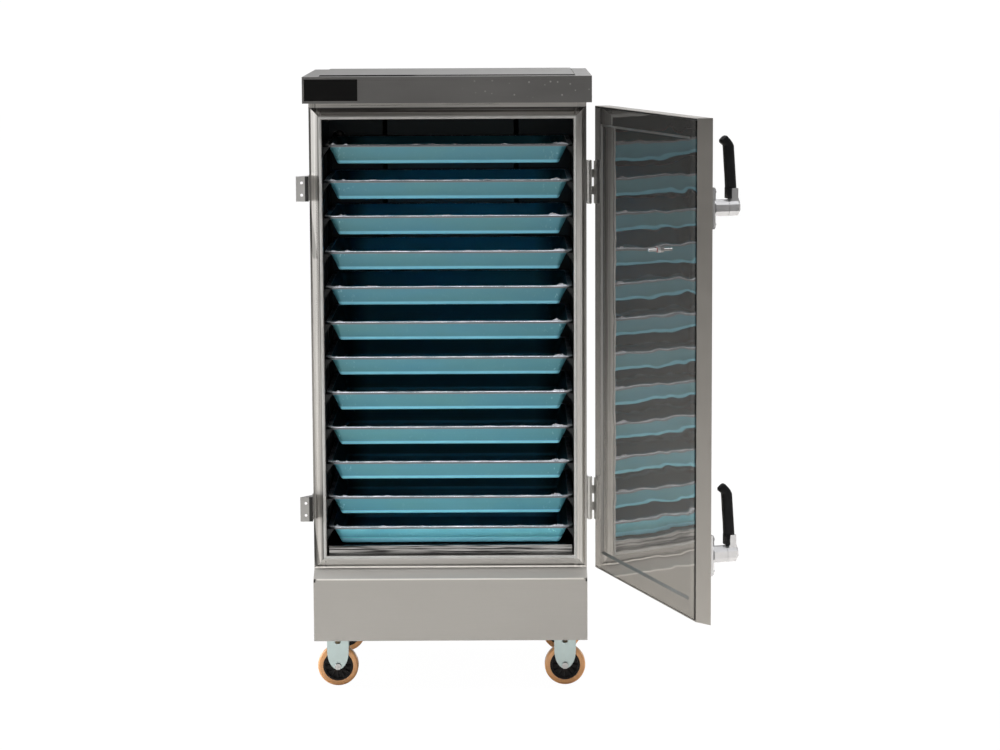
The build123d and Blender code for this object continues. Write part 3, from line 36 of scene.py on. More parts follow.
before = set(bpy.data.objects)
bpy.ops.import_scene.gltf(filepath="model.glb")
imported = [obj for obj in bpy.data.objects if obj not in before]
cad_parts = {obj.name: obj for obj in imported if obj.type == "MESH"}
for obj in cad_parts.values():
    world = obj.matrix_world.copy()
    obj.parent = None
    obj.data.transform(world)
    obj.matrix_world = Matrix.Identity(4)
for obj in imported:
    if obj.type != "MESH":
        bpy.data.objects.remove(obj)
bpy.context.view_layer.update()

MM = 0.001
WHITE = (1.0, 1.0, 1.0, 1.0)
# The door at rest, seen from above: its pin, its edge and inner plane from the pin, and how far it is open
HINGE_PIN = (340.0, -240.0)
HINGE_STANDOFF = 7.0
DOOR_GAP = 11.0
DOOR_OPEN = math.radians(108.0)
DOOR_ALONG = (-math.cos(DOOR_OPEN), -math.sin(DOOR_OPEN))
DOOR_OUT = (math.sin(DOOR_OPEN), -math.cos(DOOR_OPEN))
Array = np.ndarray
Colour = tuple[float, float, float]
Point = tuple[float, float, float]


# Shader maths


class Wire:
    """A shader socket that adds a Math node for each operator used on it."""

    def __init__(self, nodes: "NodeBoard", socket: bpy.types.NodeSocket) -> None:
        """Keeps the socket and the board that its Math nodes go onto."""
        self.nodes = nodes
        self.socket = socket

    def math(
        self, operation: str, *others: "Wire | float", swapped: bool = False, clamp: bool = False
    ) -> "Wire":
        """Adds one Math node.

        Args:
            operation: the Math node's operation.
            others: its further operands.
            swapped: puts the first of them before this wire.
            clamp: limits the result to the range from 0 to 1.

        Returns:
            The wire of the node's result.
        """
        operands = [*others, self] if swapped else [self, *others]
        settings = {"operation": operation, "use_clamp": clamp}
        return self.nodes.add("ShaderNodeMath", settings, dict(enumerate(operands)))

    def __add__(self, other: "Wire | float") -> "Wire":
        """This wire plus the other."""
        return self.math("ADD", other)

    def __radd__(self, other: float) -> "Wire":
        """A number plus this wire."""
        return self.math("ADD", other)

    def __neg__(self) -> "Wire":
        """This wire with its sign changed."""
        return 0.0 - self

    def __abs__(self) -> "Wire":
        """This wire's size without its sign."""
        return self.math("ABSOLUTE")

    def __sub__(self, other: "Wire | float") -> "Wire":
        """This wire minus the other."""
        return self.math("SUBTRACT", other)

    def __rsub__(self, other: float) -> "Wire":
        """A number minus this wire."""
        return self.math("SUBTRACT", other, swapped=True)

    def __mul__(self, other: "Wire | float") -> "Wire":
        """This wire times the other."""
        return self.math("MULTIPLY", other)

    def __rmul__(self, other: float) -> "Wire":
        """A number times this wire."""
        return self.math("MULTIPLY", other)

    def above(self, edge: float, softness: float) -> "Wire":
        """Rises from 0 to 1 as the wire passes the edge, over the given softness."""
        return (self - (edge - softness / 2)).math("DIVIDE", softness, clamp=True)

    def within(self, low: float, high: float, softness: float = 0.0012) -> "Wire":
        """1 between the two edges and 0 outside them, softened at both."""
        return self.above(low, softness) - self.above(high, softness)


class NodeBoard:
    """A node tree that nodes are added to, cleared at its start."""

    def __init__(self, tree: bpy.types.NodeTree) -> None:
        """Clears the tree and keeps it."""
        self.tree = tree
        self.tree.nodes.clear()

    def add(self, kind: str, settings: dict[str, Any], inputs: dict[Any, Any], output: Any = 0) -> Wire:
        """Adds a node, sets it up and wires its inputs.

        Args:
            kind: the node's type.
            settings: attributes set before the sockets are used.
            inputs: socket name or number to a wire or a value.
            output: the output socket that is handed back.

        Returns:
            The wire of that output.
        """
        node = self.tree.nodes.new(kind)
        for key, value in settings.items():
            setattr(node, key, value)
        for key, value in inputs.items():
            self.set(node.inputs[key], value)
        return Wire(self, node.outputs[output])

    def set(self, socket: bpy.types.NodeSocket, value: Any) -> None:
        """Links a wire to a socket, or sets the socket to a value.

        Args:
            socket: the input socket.
            value: a wire, or the value itself.
        """
        if isinstance(value, Wire):
            self.tree.links.new(value.socket, socket)
        else:
            socket.default_value = value


class Recipe(NodeBoard):
    """One material's node tree round a Principled shader."""

    def __init__(self, name: str) -> None:
        """Starts the tree with its shader, its output and its coordinates.

        Args:
            name: the material's name.
        """
        self.material = bpy.data.materials.new(name)
        self.material.use_nodes = True
        super().__init__(self.material.node_tree)
        self.output = self.tree.nodes.new("ShaderNodeOutputMaterial")
        self.shader = self.tree.nodes.new("ShaderNodeBsdfPrincipled")
        self.tree.links.new(self.shader.outputs[0], self.output.inputs["Surface"])
        self.place = self.add("ShaderNodeTexCoord", {}, {}, "Object")

    def put(self, socket: str, value: Any) -> None:
        """Sets or wires one of the Principled shader's sockets; a plain colour gets its alpha."""
        self.set(self.shader.inputs[socket], (*value, 1.0) if isinstance(value, tuple) else value)

    def noise(self, scale: float, stretch: Point = (1.0, 1.0, 1.0), detail: float = 3.0) -> Wire:
        """Noise on Object coordinates.

        Args:
            scale: cells per metre.
            stretch: further scale along each axis; a small value draws the grain out along it.
            detail: octaves.

        Returns:
            A wire from 0 to 1.
        """
        mapped = self.add("ShaderNodeMapping", {}, {"Vector": self.place, "Scale": stretch})
        return self.add("ShaderNodeTexNoise", {}, {"Vector": mapped, "Scale": scale, "Detail": detail})

    def blend(self, factor: Wire, low: Any, high: Any) -> Wire:
        """Mixes two colours, each a wire or a plain colour, by the factor."""
        low, high = ((*c, 1.0) if isinstance(c, tuple) else c for c in (low, high))
        return self.add("ShaderNodeMix", {"data_type": "RGBA"}, {0: factor, 6: low, 7: high}, 2)

    def bump(self, height: Wire, distance: float, strength: float = 1.0) -> None:
        """Feeds the shader's normal from a height of the given depth in metres."""
        values = {"Height": height, "Distance": distance, "Strength": strength}
        self.put("Normal", self.add("ShaderNodeBump", {}, values))

    def axis(self, name: str) -> Wire:
        """One Object coordinate, in metres."""
        return self.add("ShaderNodeSeparateXYZ", {}, {0: self.place}, name)

    def facing(self, direction: Point) -> Wire:
        """How squarely the surface faces a direction in the object's own space, from -1 to 1.

        Args:
            direction: a unit vector.

        Returns:
            A wire of the dot product with the surface's normal.
        """
        normal = self.add("ShaderNodeTexCoord", {}, {}, "Normal")
        settings = {"operation": "DOT_PRODUCT"}
        return self.add("ShaderNodeVectorMath", settings, {0: normal, 1: direction}, "Value")

    def cells(self, scale: float) -> Wire:
        """Distance to the nearest of some scattered points, with the given number of them to a metre."""
        return self.add("ShaderNodeTexVoronoi", {}, {"Vector": self.place, "Scale": scale}, "Distance")

    def scaled(self, colour: Any, tone: Wire) -> Wire:
        """A colour times a tone."""
        return self.add("ShaderNodeVectorMath", {"operation": "SCALE"}, {0: colour, "Scale": tone})


@dataclass(frozen=True)
class Finish:
    """A finish that is built once and shared by all that wear it."""

    name: str
    colour: Colour
    roughness: float = 0.4
    built: ClassVar[dict[str, bpy.types.Material]] = {}

    def material(self) -> bpy.types.Material:
        """Returns the finish's material, building it on first use.

        Returns:
            The material.
        """
        if self.name not in self.built:
            recipe = Recipe(self.name)
            recipe.put("Base Color", self.colour)
            recipe.put("Roughness", self.roughness)
            self.mix(recipe)
            self.built[self.name] = recipe.material
        return self.built[self.name]

    def mix(self, recipe: Recipe) -> None:
        """Adds the finish's own nodes."""


class Grain(Enum):
    """Direction in which sheet was brushed, as a stretch of its noise."""

    ALONG_X = (0.012, 1.0, 1.0)
    ALONG_Y = (1.0, 0.012, 1.0)
    UPRIGHT = (1.0, 1.0, 0.012)
    NONE = (0.5, 0.5, 0.5)


@dataclass(frozen=True)
class BrushedSheet(Finish):
    """Stainless sheet: fine grain, slow clouds, a few wipe marks and pin-point scratches."""

    grain: Grain = Grain.UPRIGHT
    grain_depth: float = 0.00003
    clouds: float = 0.10
    specks: float = 0.0
    dull: float = 0.0
    streaks: float = 0.0
    speck: Colour = (0.75, 0.75, 0.75)

    def mix(self, recipe: Recipe) -> None:
        """Grain drives roughness and bump; clouds, streaks and specks drive the colour.

        Args:
            recipe: the material's node tree.
        """
        fine = recipe.noise(900.0, self.grain.value, 4.0)
        slow = recipe.noise(3.2, (1.0, 1.0, 0.7), 4.0)
        wipes = recipe.noise(9.0, (0.35, 1.0, 1.6), 5.0)
        tone = 1.0 - self.clouds + slow * self.clouds + wipes * self.clouds + (fine - 0.5) * 0.10
        if self.streaks:
            coarse = tuple(0.03 if g < 0.1 else g for g in self.grain.value)
            tone = tone + (recipe.noise(300.0, coarse, 2.0).above(0.5, 0.22) - 0.5) * self.streaks
        colour = recipe.scaled(self.colour, self.shade(recipe, tone))
        if self.specks:
            rare = recipe.noise(7.0, detail=2.0).above(0.60, 0.05)
            mark = (1.0 - recipe.cells(60.0).above(0.035, 0.02)) * rare * self.specks
            colour = recipe.blend(mark, colour, self.speck)
        recipe.put("Base Color", colour)
        recipe.put("Metallic", 1.0 - self.dull)
        rough = self.roughness + (fine - 0.5) * 0.16 + (wipes - 0.5) * 0.14
        recipe.put("Roughness", self.polish(recipe, rough))
        recipe.bump(fine, self.grain_depth)

    def polish(self, recipe: Recipe, rough: Wire) -> Wire:
        """Changes the roughness where the piece is duller than its sheet."""
        return rough

    def shade(self, recipe: Recipe, tone: Wire) -> Wire:
        """Changes the tone where the piece has painted light, painted shade or specks of its own."""
        return tone


@dataclass(frozen=True)
class CoverSheet(BrushedSheet):
    """The top cover: painted shade along the press line round its top, streaks on the flat, specks on the
    front.
    """

    def press(self, recipe: Recipe) -> Wire:
        """1 on the press line, the narrow slope round the top."""
        return recipe.facing((0.0, 0.0, 1.0)).within(0.45, 0.93, 0.1)

    def shade(self, recipe: Recipe, tone: Wire) -> Wire:
        """Paints shade on the press line, which would mirror the lamp above it, and scatters specks to the
        right.

        Args:
            recipe: the material's node tree.
            tone: the sheet's tone so far.

        Returns:
            The tone with painted shade on the press line, and specks.
        """
        rise = recipe.facing((0.0, 0.0, 1.0))
        dashes = recipe.noise(5.0, (1.0, 0.2, 0.2), 4.0).above(0.50, 0.06)
        lines = recipe.noise(70.0, (0.02, 1.0, 1.0), 2.0).above(0.5, 0.2)
        press = self.press(recipe)
        right = recipe.axis("X").above(0.08, 0.25) * (1.0 - rise.above(0.3, 0.1))
        patchy = recipe.noise(9.0, detail=2.0).above(0.46, 0.05)
        dust = (1.0 - recipe.cells(60.0).above(0.13, 0.05)) * right * patchy
        # Painted shade on the press line, broken into dashes.
        tone = tone * (1.0 - press * (0.80 + dashes * 0.15)) + rise.above(0.95, 0.02) * (lines - 0.5) * 0.3
        return tone + dust * 1.1

    def polish(self, recipe: Recipe, rough: Wire) -> Wire:
        """The press line is rougher than the flat."""
        return rough + self.press(recipe) * 0.5


@dataclass(frozen=True)
class SkirtSheet(BrushedSheet):
    """The base skirt: a painted highlight along its front fold, and painted shade for a small notch at each
    end.
    """

    def shade(self, recipe: Recipe, tone: Wire) -> Wire:
        """The fold lies along the front at Z 0.284; the notches lie just under it.

        Args:
            recipe: the material's node tree.
            tone: the sheet's tone so far.

        Returns:
            The tone with the fold and the notches.
        """
        up, reach = recipe.axis("Z"), abs(recipe.axis("X"))
        front = (-recipe.axis("Y")).above(0.2855, 0.001)
        notch = reach.within(0.3285, 0.3324, 0.0006) * up.above(0.2765, 0.0006)
        # Painted highlight along the front fold; painted shade in the notch at each end.
        return tone * (1.0 + up.above(0.2816, 0.0008) * front * 0.85) * (1.0 - notch * front * 0.95)


@dataclass(frozen=True)
class InnerTube(BrushedSheet):
    """The vent's tube, with painted shade where it stands inside the chamber."""

    def shade(self, recipe: Recipe, tone: Wire) -> Wire:
        """Painted shade in front of the back wall, and inside the bend behind it."""
        # Painted shade inside the chamber and inside the bend; elsewhere the plain tone.
        unshaded = recipe.axis("Y").above(0.243, 0.002) * recipe.facing((0.0, 1.0, 0.0)).above(-0.15, 0.2)
        return tone * (0.06 + unshaded * 0.94)


@dataclass(frozen=True)
class KeeperPlate(BrushedSheet):
    """The keepers: painted shade where the leg shades their bend, and over the lower keeper."""

    def shade(self, recipe: Recipe, tone: Wire) -> Wire:
        """Painted shade along the bend of the front plate, and over the lower keeper."""
        bend = recipe.axis("X").within(-0.3415, -0.3325) * (-recipe.axis("Y")).above(0.2725, 0.001)
        # Painted shade along the bend, and darker on the lower keeper.
        return tone * (1.0 - bend * 0.9) * (0.52 + recipe.axis("Z").above(0.8, 0.3) * 0.48)


@dataclass(frozen=True)
class FoldedFrame(BrushedSheet):
    """The door frame: streaks run along each member, the crest of its rib is lighter, and each member carries
    painted highlights and painted shade.
    """

    crest: float = 0.2476
    opening: float = 0.3025
    head_mitre: float = 1.095
    foot_mitre: float = 0.636
    side: float = 0.333
    keepers: tuple[float, ...] = (1.203, 0.425)
    painted_sheen_colour: Colour = (0.92, 0.90, 0.87)

    def mix(self, recipe: Recipe) -> None:
        """Streaks are upright beside the opening and level above and below it; each member has its own
        painted light and shade.

        The members meet at mitres: the head is where Z - |X| passes one number, the foot where Z + |X|
        is under another. Each keeper beside the frame is painted into its outer slope as a dark slant, a
        painted reflection.

        Args:
            recipe: the material's node tree.
        """
        across, up = recipe.axis("X"), recipe.axis("Z")
        reach = abs(across)
        beside = reach.above(self.opening, 0.002)
        upright = recipe.noise(190.0, (1.0, 1.0, 0.006), 3.0)
        level = recipe.noise(190.0, (0.010, 1.0, 1.0), 3.0)
        streak = level + (upright - level) * beside
        slow = recipe.noise(4.0, (1.0, 1.0, 0.8), 4.0)
        bright = (-recipe.axis("Y")).above(self.crest, 0.0008)
        head = (up - reach).above(self.head_mitre, 0.001)
        foot = 1.0 - (up + reach).above(self.foot_mitre, 0.001)
        left = (1.0 - across.above(0.0, 0.1)) * (1.0 - head) * (1.0 - foot)
        right = across.above(0.0, 0.1) * (1.0 - head) * (1.0 - foot)
        tone = 0.62 + streak.above(0.5, 0.30) * 0.46 + slow * 0.16 + bright * 0.12
        # Painted highlights and painted shade up the head and the sill, and over the left member with the
        # keepers' painted reflections.
        tone = tone + self.head_painted_light(up) * head + self.sill_painted_light(up) * foot
        tone = tone + self.left_painted_light(reach, up) * left
        # Painted shade along the right member's outer edge, deeper towards the top.
        tone = (tone - reach.above(0.3275, 0.001) * right * up.above(1.15, 0.4) * 0.5).math("MAXIMUM", 0.10)
        # Painted highlights on the right member's slope and on the sill's slope, in a paler, less metallic
        # colour.
        painted_sheen = reach.within(0.3096, 0.3220, 0.0015) * right * (1.0 - up.above(1.22, 0.35) * 0.45)
        painted_sheen = painted_sheen + up.within(0.3118, 0.3275, 0.003) * foot * 0.55
        recipe.put("Base Color", recipe.blend(painted_sheen, recipe.scaled(self.colour, tone), self.painted_sheen_colour))
        recipe.put("Metallic", 1.0 - bright * 0.12 - painted_sheen * 0.86)
        recipe.put("Roughness", self.roughness + (streak - 0.5) * 0.2)
        recipe.bump(streak, 0.0001)

    def head_painted_light(self, up: Wire) -> Wire:
        """Painted light up the head: painted shade on the slope, darkest at its top, and a painted highlight
        on the edge above it.
        """
        slope = up.within(1.4055, 1.4245) * -0.46 + up.within(1.4145, 1.4250, 0.003) * -0.33
        return slope + up.above(1.4250, 0.001) * 0.65

    def sill_painted_light(self, up: Wire) -> Wire:
        """Painted light up the sill: a painted highlight and a line of painted shade above it."""
        return up.within(0.3065, 0.3110) * -0.45 + up.within(0.3030, 0.3065) * 0.6

    def left_painted_light(self, reach: Wire, up: Wire) -> Wire:
        """Painted light over the left member, with the keepers' painted reflections.

        Args:
            reach: distance from the middle of the cabinet.
            up: height above the floor.

        Returns:
            A painted highlight on the crest between painted shade on the inner line and on the outer edge,
            painted shade low down, and dark slants that are painted reflections of the keepers.
        """
        painted_tone = reach.within(0.3165, 0.3262, 0.003) * 0.42
        painted_tone = painted_tone - reach.above(0.3290, 0.001) * (0.20 + up.above(1.1, 0.5) * 0.35)
        painted_tone = painted_tone - reach.within(0.3045, 0.3120, 0.002) * 0.58 - (1.0 - up.above(0.6, 0.3)) * 0.32
        # Each keeper is painted into the slope below it as a dark slant, a painted reflection.
        for keeper in self.keepers:
            drop = keeper - up
            mirrored = (self.side - reach - drop * 0.13).within(-0.012, 0.0, 0.002)
            painted_tone = painted_tone - mirrored * drop.within(0.0, 0.14, 0.006) * 0.45
        return painted_tone


@dataclass(frozen=True)
class WavyPanel(Finish):
    """Bright stainless panel whose slow buckles bend what it mirrors, with painted reflections: paler at its
    foot, darker at its top.
    """

    wave: float = 0.0022
    edge: float = (HINGE_PIN[0] * DOOR_ALONG[0] + HINGE_PIN[1] * DOOR_ALONG[1] + HINGE_STANDOFF) * MM
    foot_reflection_colour: Colour = (0.56, 0.53, 0.49)

    def mix(self, recipe: Recipe) -> None:
        """Long level waves and short dents make the bump; blotches, the foot and the pressed slope lift the
        roughness.

        The coordinate along the door runs from its hinged edge at 0 to the latches' side at 0.664.

        Args:
            recipe: the material's node tree.
        """
        swell = recipe.noise(3.0, (1.0, 1.0, 2.6), 2.0)
        dents = recipe.noise(9.0, (1.0, 1.0, 1.4), 1.0)
        fine = recipe.noise(900.0, Grain.UPRIGHT.value, 3.0)
        blotches = recipe.noise(14.0, (1.0, 1.0, 0.6), 5.0)
        height = recipe.axis("Z")
        along = recipe.axis("X") * DOOR_ALONG[0] + recipe.axis("Y") * DOOR_ALONG[1] - self.edge
        slope = 1.0 - abs(recipe.facing((*DOOR_OUT, 0.0))).above(0.93, 0.06)
        low = 1.0 - height.above(0.62, 0.7)
        hinge_side = (1.0 - along.above(0.108, 0.02)) * (1.0 - low)
        seam = along.above(0.6535, 0.003)
        border = along.above(0.634, 0.004) - seam
        # Painted reflection and painted shade: darker towards the top, and along the hinged side above the
        # foot.
        tone = (1.0 - height.above(1.02, 0.64) * 0.62) * (1.0 - hinge_side * 0.5)
        # A dark seam at the edge, with a painted highlight along the border beside it.
        tone = tone * (1.0 - seam * 0.8) + border * 0.12
        # Painted shade on the pressed slope, deeper towards the foot.
        tone = tone * (1.0 - slope * (0.15 + low * 0.55))
        # Painted reflection of the skirt: paler and beige towards the foot, in blotches.
        colour = recipe.blend(low * (0.35 + blotches * 0.6), self.colour, self.foot_reflection_colour)
        recipe.put("Base Color", recipe.scaled(colour, tone))
        recipe.put("Metallic", 0.84)
        rough = self.roughness + blotches * 0.02 + low * 0.02 + (fine - 0.5) * 0.01 + slope * 0.40
        recipe.put("Roughness", rough)
        recipe.bump(swell + dents * 0.16, self.wave)


@dataclass(frozen=True)
class TrayFilm(Finish):
    """Blue-green protective film on drawn sheet: a cloudy tint, paler where stretched, creased at corners,
    with painted light and shade.
    """

    cloudy: Colour = (0.086, 0.276, 0.305)
    stretched: Colour = (0.30, 0.62, 0.70)
    painted_foot_highlight: Colour = (0.26, 0.72, 0.90)

    def mix(self, recipe: Recipe) -> None:
        """Colour shifts along the tray and turns to a painted highlight round its foot; creases gather near
        the ends.

        Args:
            recipe: the material's node tree.
        """
        foot = recipe.add("ShaderNodeAttribute", {"attribute_name": "fade"}, {}, "Fac")
        drift = recipe.noise(5.0, (1.0, 1.0, 3.0), 3.0)
        creases = recipe.noise(150.0, (1.0, 1.0, 0.35), 4.0)
        reach = abs(recipe.axis("X"))
        side = reach.above(0.245, 0.05)
        scuff = creases.above(0.66, 0.08) * (0.06 + side * 0.6)
        colour = recipe.blend(drift.above(0.52, 0.5), self.colour, self.cloudy)
        height = recipe.axis("Z")
        lowest = 1.0 - height.above(0.420, 0.02)
        # Painted highlight round the foot, reaching higher on the lowest tray.
        colour = recipe.blend((foot + lowest * 0.12).above(0.795, 0.06) * 0.95, colour, self.painted_foot_highlight)
        colour = recipe.blend(scuff, colour, self.stretched)
        front = (-recipe.axis("Y")).above(0.187, 0.003)
        # Painted light on the front, brighter on the lower trays and most on the lowest; painted shade behind
        # it, deeper on the lower trays and at the ends.
        outside = 1.0 + (1.0 - height.above(0.62, 0.7)) * 0.50 + lowest * 1.3
        ends = reach.above(0.235, 0.05)
        inside = (0.95 + height.above(0.95, 0.3) * 0.85) * (1.0 - ends * 0.70)
        recipe.put("Base Color", recipe.scaled(colour, inside + (outside - inside) * front))
        recipe.put("Metallic", 0.25)
        recipe.put("Roughness", self.roughness + drift * 0.12)
        recipe.put("Coat Weight", 0.25)
        recipe.put("Coat Roughness", 0.18)
        recipe.bump(drift + scuff * 0.35, 0.0012)


@dataclass(frozen=True)
class RubbedRim(Finish):
    """Bare rim of a tray: bright metal broken by shreds of film and scratches."""

    smeared: Colour = (0.30, 0.36, 0.40)
    shreds: Colour = (0.93, 0.95, 0.98)

    def mix(self, recipe: Recipe) -> None:
        """Short and long noise along the rim break its brightness.

        Args:
            recipe: the material's node tree.
        """
        short = recipe.noise(260.0, (1.0, 1.0, 0.5), 5.0)
        long = recipe.noise(26.0, detail=3.0)
        bits = short.above(0.60, 0.1)
        tone = recipe.blend(long.above(0.5, 0.4), self.colour, self.smeared)
        recipe.put("Base Color", recipe.blend(bits * 0.9, tone, self.shreds))
        recipe.put("Metallic", 0.85 - bits * 0.5)
        recipe.put("Roughness", self.roughness + short * 0.15)
        recipe.bump(short, 0.0006)


@dataclass(frozen=True)
class Plated(Finish):
    """Chrome or zinc plating: bright, faintly cloudy."""

    cloud: float = 0.06
    fill: float = 0.0

    def mix(self, recipe: Recipe) -> None:
        """Clouds vary roughness and tone.

        Args:
            recipe: the material's node tree.
        """
        slow = recipe.noise(40.0, detail=3.0)
        tone = 1.0 - self.cloud + slow * self.cloud * 2.0
        recipe.put("Base Color", recipe.scaled(self.colour, tone))
        recipe.put("Metallic", 1.0 - self.fill)
        recipe.put("Roughness", self.roughness + (slow - 0.5) * 0.12)
        recipe.bump(slow, 0.0001)


@dataclass(frozen=True)
class Moulded(Finish):
    """Moulded plastic, rubber or paint: fine texture, rubbed paler in patches."""

    grit: float = 0.00006
    rub: float = 0.12
    coat: float = 0.0
    shine: float = 0.5

    def mix(self, recipe: Recipe) -> None:
        """Fine grit makes the bump; slow noise rubs the colour.

        Args:
            recipe: the material's node tree.
        """
        recipe.put("Specular IOR Level", self.shine)
        grit = recipe.noise(1500.0, detail=2.0)
        slow = recipe.noise(22.0, detail=5.0)
        worn = tuple(min(1.0, c * (1 + 2 * self.rub) + 0.02) for c in self.colour)
        rubbed = slow.above(0.55, 0.4) * min(1.0, self.rub * 8)
        recipe.put("Base Color", recipe.blend(rubbed, self.colour, worn))
        recipe.put("Roughness", self.roughness + (slow - 0.5) * 0.18)
        recipe.put("Coat Weight", self.coat)
        recipe.bump(grit, self.grit)


@dataclass(frozen=True)
class CellFoam(Finish):
    """Rigid foam with open pores."""

    pores: Colour = (0.45, 0.38, 0.20)

    def mix(self, recipe: Recipe) -> None:
        """Voronoi cells make pores.

        Args:
            recipe: the material's node tree.
        """
        cells = recipe.cells(500.0)
        recipe.put("Base Color", recipe.blend(cells, self.pores, self.colour))
        recipe.bump(cells, 0.0006)


class Look:
    """The finishes of this cabinet, by the name of what wears them."""

    COVER = CoverSheet("cover_sheet", (0.33, 0.325, 0.32), 0.34, Grain.ALONG_X, specks=0.8)
    CASING = BrushedSheet("casing_sheet", (0.50, 0.49, 0.475), 0.36, Grain.UPRIGHT)
    FRAME = FoldedFrame("frame_sheet", (0.52, 0.505, 0.485), 0.30)
    SKIRT = SkirtSheet(
        "skirt_sheet", (0.42, 0.406, 0.385), 0.40, Grain.ALONG_X, clouds=0.06, specks=0.4, dull=0.6
    )
    # The liner and the racks are stainless; their dark colours are painted shade inside the chamber.
    LINER = BrushedSheet("liner_sheet", (0.10, 0.11, 0.115), 0.38, Grain.UPRIGHT)
    RACK = BrushedSheet("rack_sheet", (0.045, 0.048, 0.05), 0.42, Grain.ALONG_Y)
    DECK = BrushedSheet("deck_sheet", (0.24, 0.238, 0.236), 0.30, Grain.ALONG_X, clouds=0.20, streaks=1.8)
    TANK = BrushedSheet("tank_sheet", (0.40, 0.40, 0.39), 0.38, Grain.ALONG_X)
    DOOR = BrushedSheet("door_sheet", (0.41, 0.393, 0.37), 0.36, Grain.UPRIGHT, clouds=0.08)
    PANEL = WavyPanel("door_panel", (0.43, 0.423, 0.408), 0.022)
    PLATE = KeeperPlate("keeper_plate", (0.80, 0.795, 0.785), 0.36, Grain.UPRIGHT)
    HINGE = BrushedSheet("hinge_metal", (0.50, 0.495, 0.48), 0.28, Grain.UPRIGHT)
    FITTING = BrushedSheet("fitting_sheet", (0.50, 0.495, 0.485), 0.36, Grain.ALONG_X)
    TUBE = InnerTube("tube_metal", (0.22, 0.215, 0.21), 0.42, Grain.NONE)
    ELEMENT = BrushedSheet("element_tube", (0.16, 0.15, 0.14), 0.45, Grain.NONE)
    FILM = TrayFilm("tray_film", (0.066, 0.260, 0.350), 0.38)
    RIM = RubbedRim("tray_rim", (0.82, 0.82, 0.87), 0.36)
    # The rolled lip under each rim is bare metal, dark grey as painted shade under the rim.
    LIP = Plated("tray_lip", (0.20, 0.215, 0.235), 0.42)
    SCRAP = Moulded("film_scrap", (0.55, 0.58, 0.64), 0.25, coat=0.5)
    CHROME = Plated("latch_chrome", (0.70, 0.70, 0.715), 0.16, fill=0.35)
    ZINC = Plated("zinc_plate", (0.47, 0.56, 0.56), 0.32, 0.10)
    SCREW = Plated("screw_steel", (0.48, 0.48, 0.48), 0.28)
    BRASS = Plated("valve_brass", (0.50, 0.36, 0.14), 0.30)
    COPPER = Plated("float_copper", (0.55, 0.27, 0.16), 0.30)
    GRIP = Moulded("grip_plastic", (0.006, 0.006, 0.007), 0.50, grit=0.0001, rub=0.03, shine=0.15)
    CORE = Moulded("wheel_core", (0.006, 0.005, 0.005), 0.50, rub=0.05, shine=0.3)
    TREAD = Moulded("tread_urethane", (0.80, 0.39, 0.15), 0.34, coat=0.5)
    SEAL = Moulded("seal_silicone", (0.50, 0.50, 0.49), 0.55)
    # Black for the name plate and the dial's print, and as painted shade for the screws' slots.
    BLACK = Moulded("plain_black_and_slot_shade", (0.003, 0.003, 0.003), 0.45, rub=0.0, shine=0.15)
    FRAME_PAINT = Moulded("angle_paint", (0.10, 0.105, 0.11), 0.45)
    LEVER = Moulded("lever_dip", (0.36, 0.012, 0.010), 0.35, coat=0.3)
    WASHER = Moulded("washer_red", (0.16, 0.012, 0.012), 0.5)
    DIAL = Moulded("dial_white", (0.75, 0.75, 0.73), 0.45, rub=0.02)
    FOAM = CellFoam("foam", (0.70, 0.60, 0.34), 0.9)
    # The door's foam shows only in the seam, so it is near black as painted shade.
    SHADED_FOAM = Moulded("foam_painted_shade", (0.012, 0.012, 0.012), 0.6, shine=0.2)


NODE_LOOKS: dict[str, Finish] = {
    "outer_casing": Look.CASING, "chamber_liner": Look.LINER, "cabinet_insulation": Look.FOAM,
    "door_frame": Look.FRAME, "door_gasket": Look.SEAL, "top_cover": Look.COVER, "name_plate": Look.BLACK,
    "base_skirt": Look.SKIRT, "base_frame": Look.FRAME_PAINT, "water_tank": Look.TANK,
    "heating_elements": Look.ELEMENT, "tank_cover": Look.DECK, "steam_riser": Look.LINER,
    "left_tray_rack": Look.RACK, "right_tray_rack": Look.RACK, "latch_keepers": Look.PLATE,
    "hinge_cabinet_leaves": Look.HINGE, "hinge_door_leaves": Look.HINGE, "caster_bolts": Look.SCREW,
    "feed_box": Look.FITTING, "feed_box_lid": Look.FITTING, "float_valve": Look.BRASS,
    "float_arm": Look.COPPER, "drain_valve": Look.BRASS, "drain_lever": Look.LEVER,
    "steam_vent": Look.TUBE, "wiring_box": Look.FITTING,
    "door_pan": Look.DOOR, "door_insulation": Look.SHADED_FOAM, "door_inner_panel": Look.PANEL,
    "latch_bases": Look.CHROME, "latch_lever": Look.CHROME,
    "latch_grip": Look.GRIP, "thermometer": Look.CHROME, "tray": Look.FILM, "caster_fork": Look.ZINC,
    "wheel_core": Look.CORE, "wheel_tread": Look.TREAD,
}


def dress_nodes() -> None:
    """Gives each CAD node its finish, by its whole name or by the start of it."""
    for name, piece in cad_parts.items():
        match = [key for key in NODE_LOOKS if name == key or name.startswith(key + "_")]
        finish = NODE_LOOKS[max(match, key=len)]
        piece.data.materials.clear()
        piece.data.materials.append(finish.material())
    LOG.info("dressed %d nodes", len(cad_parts))


# Surfaces


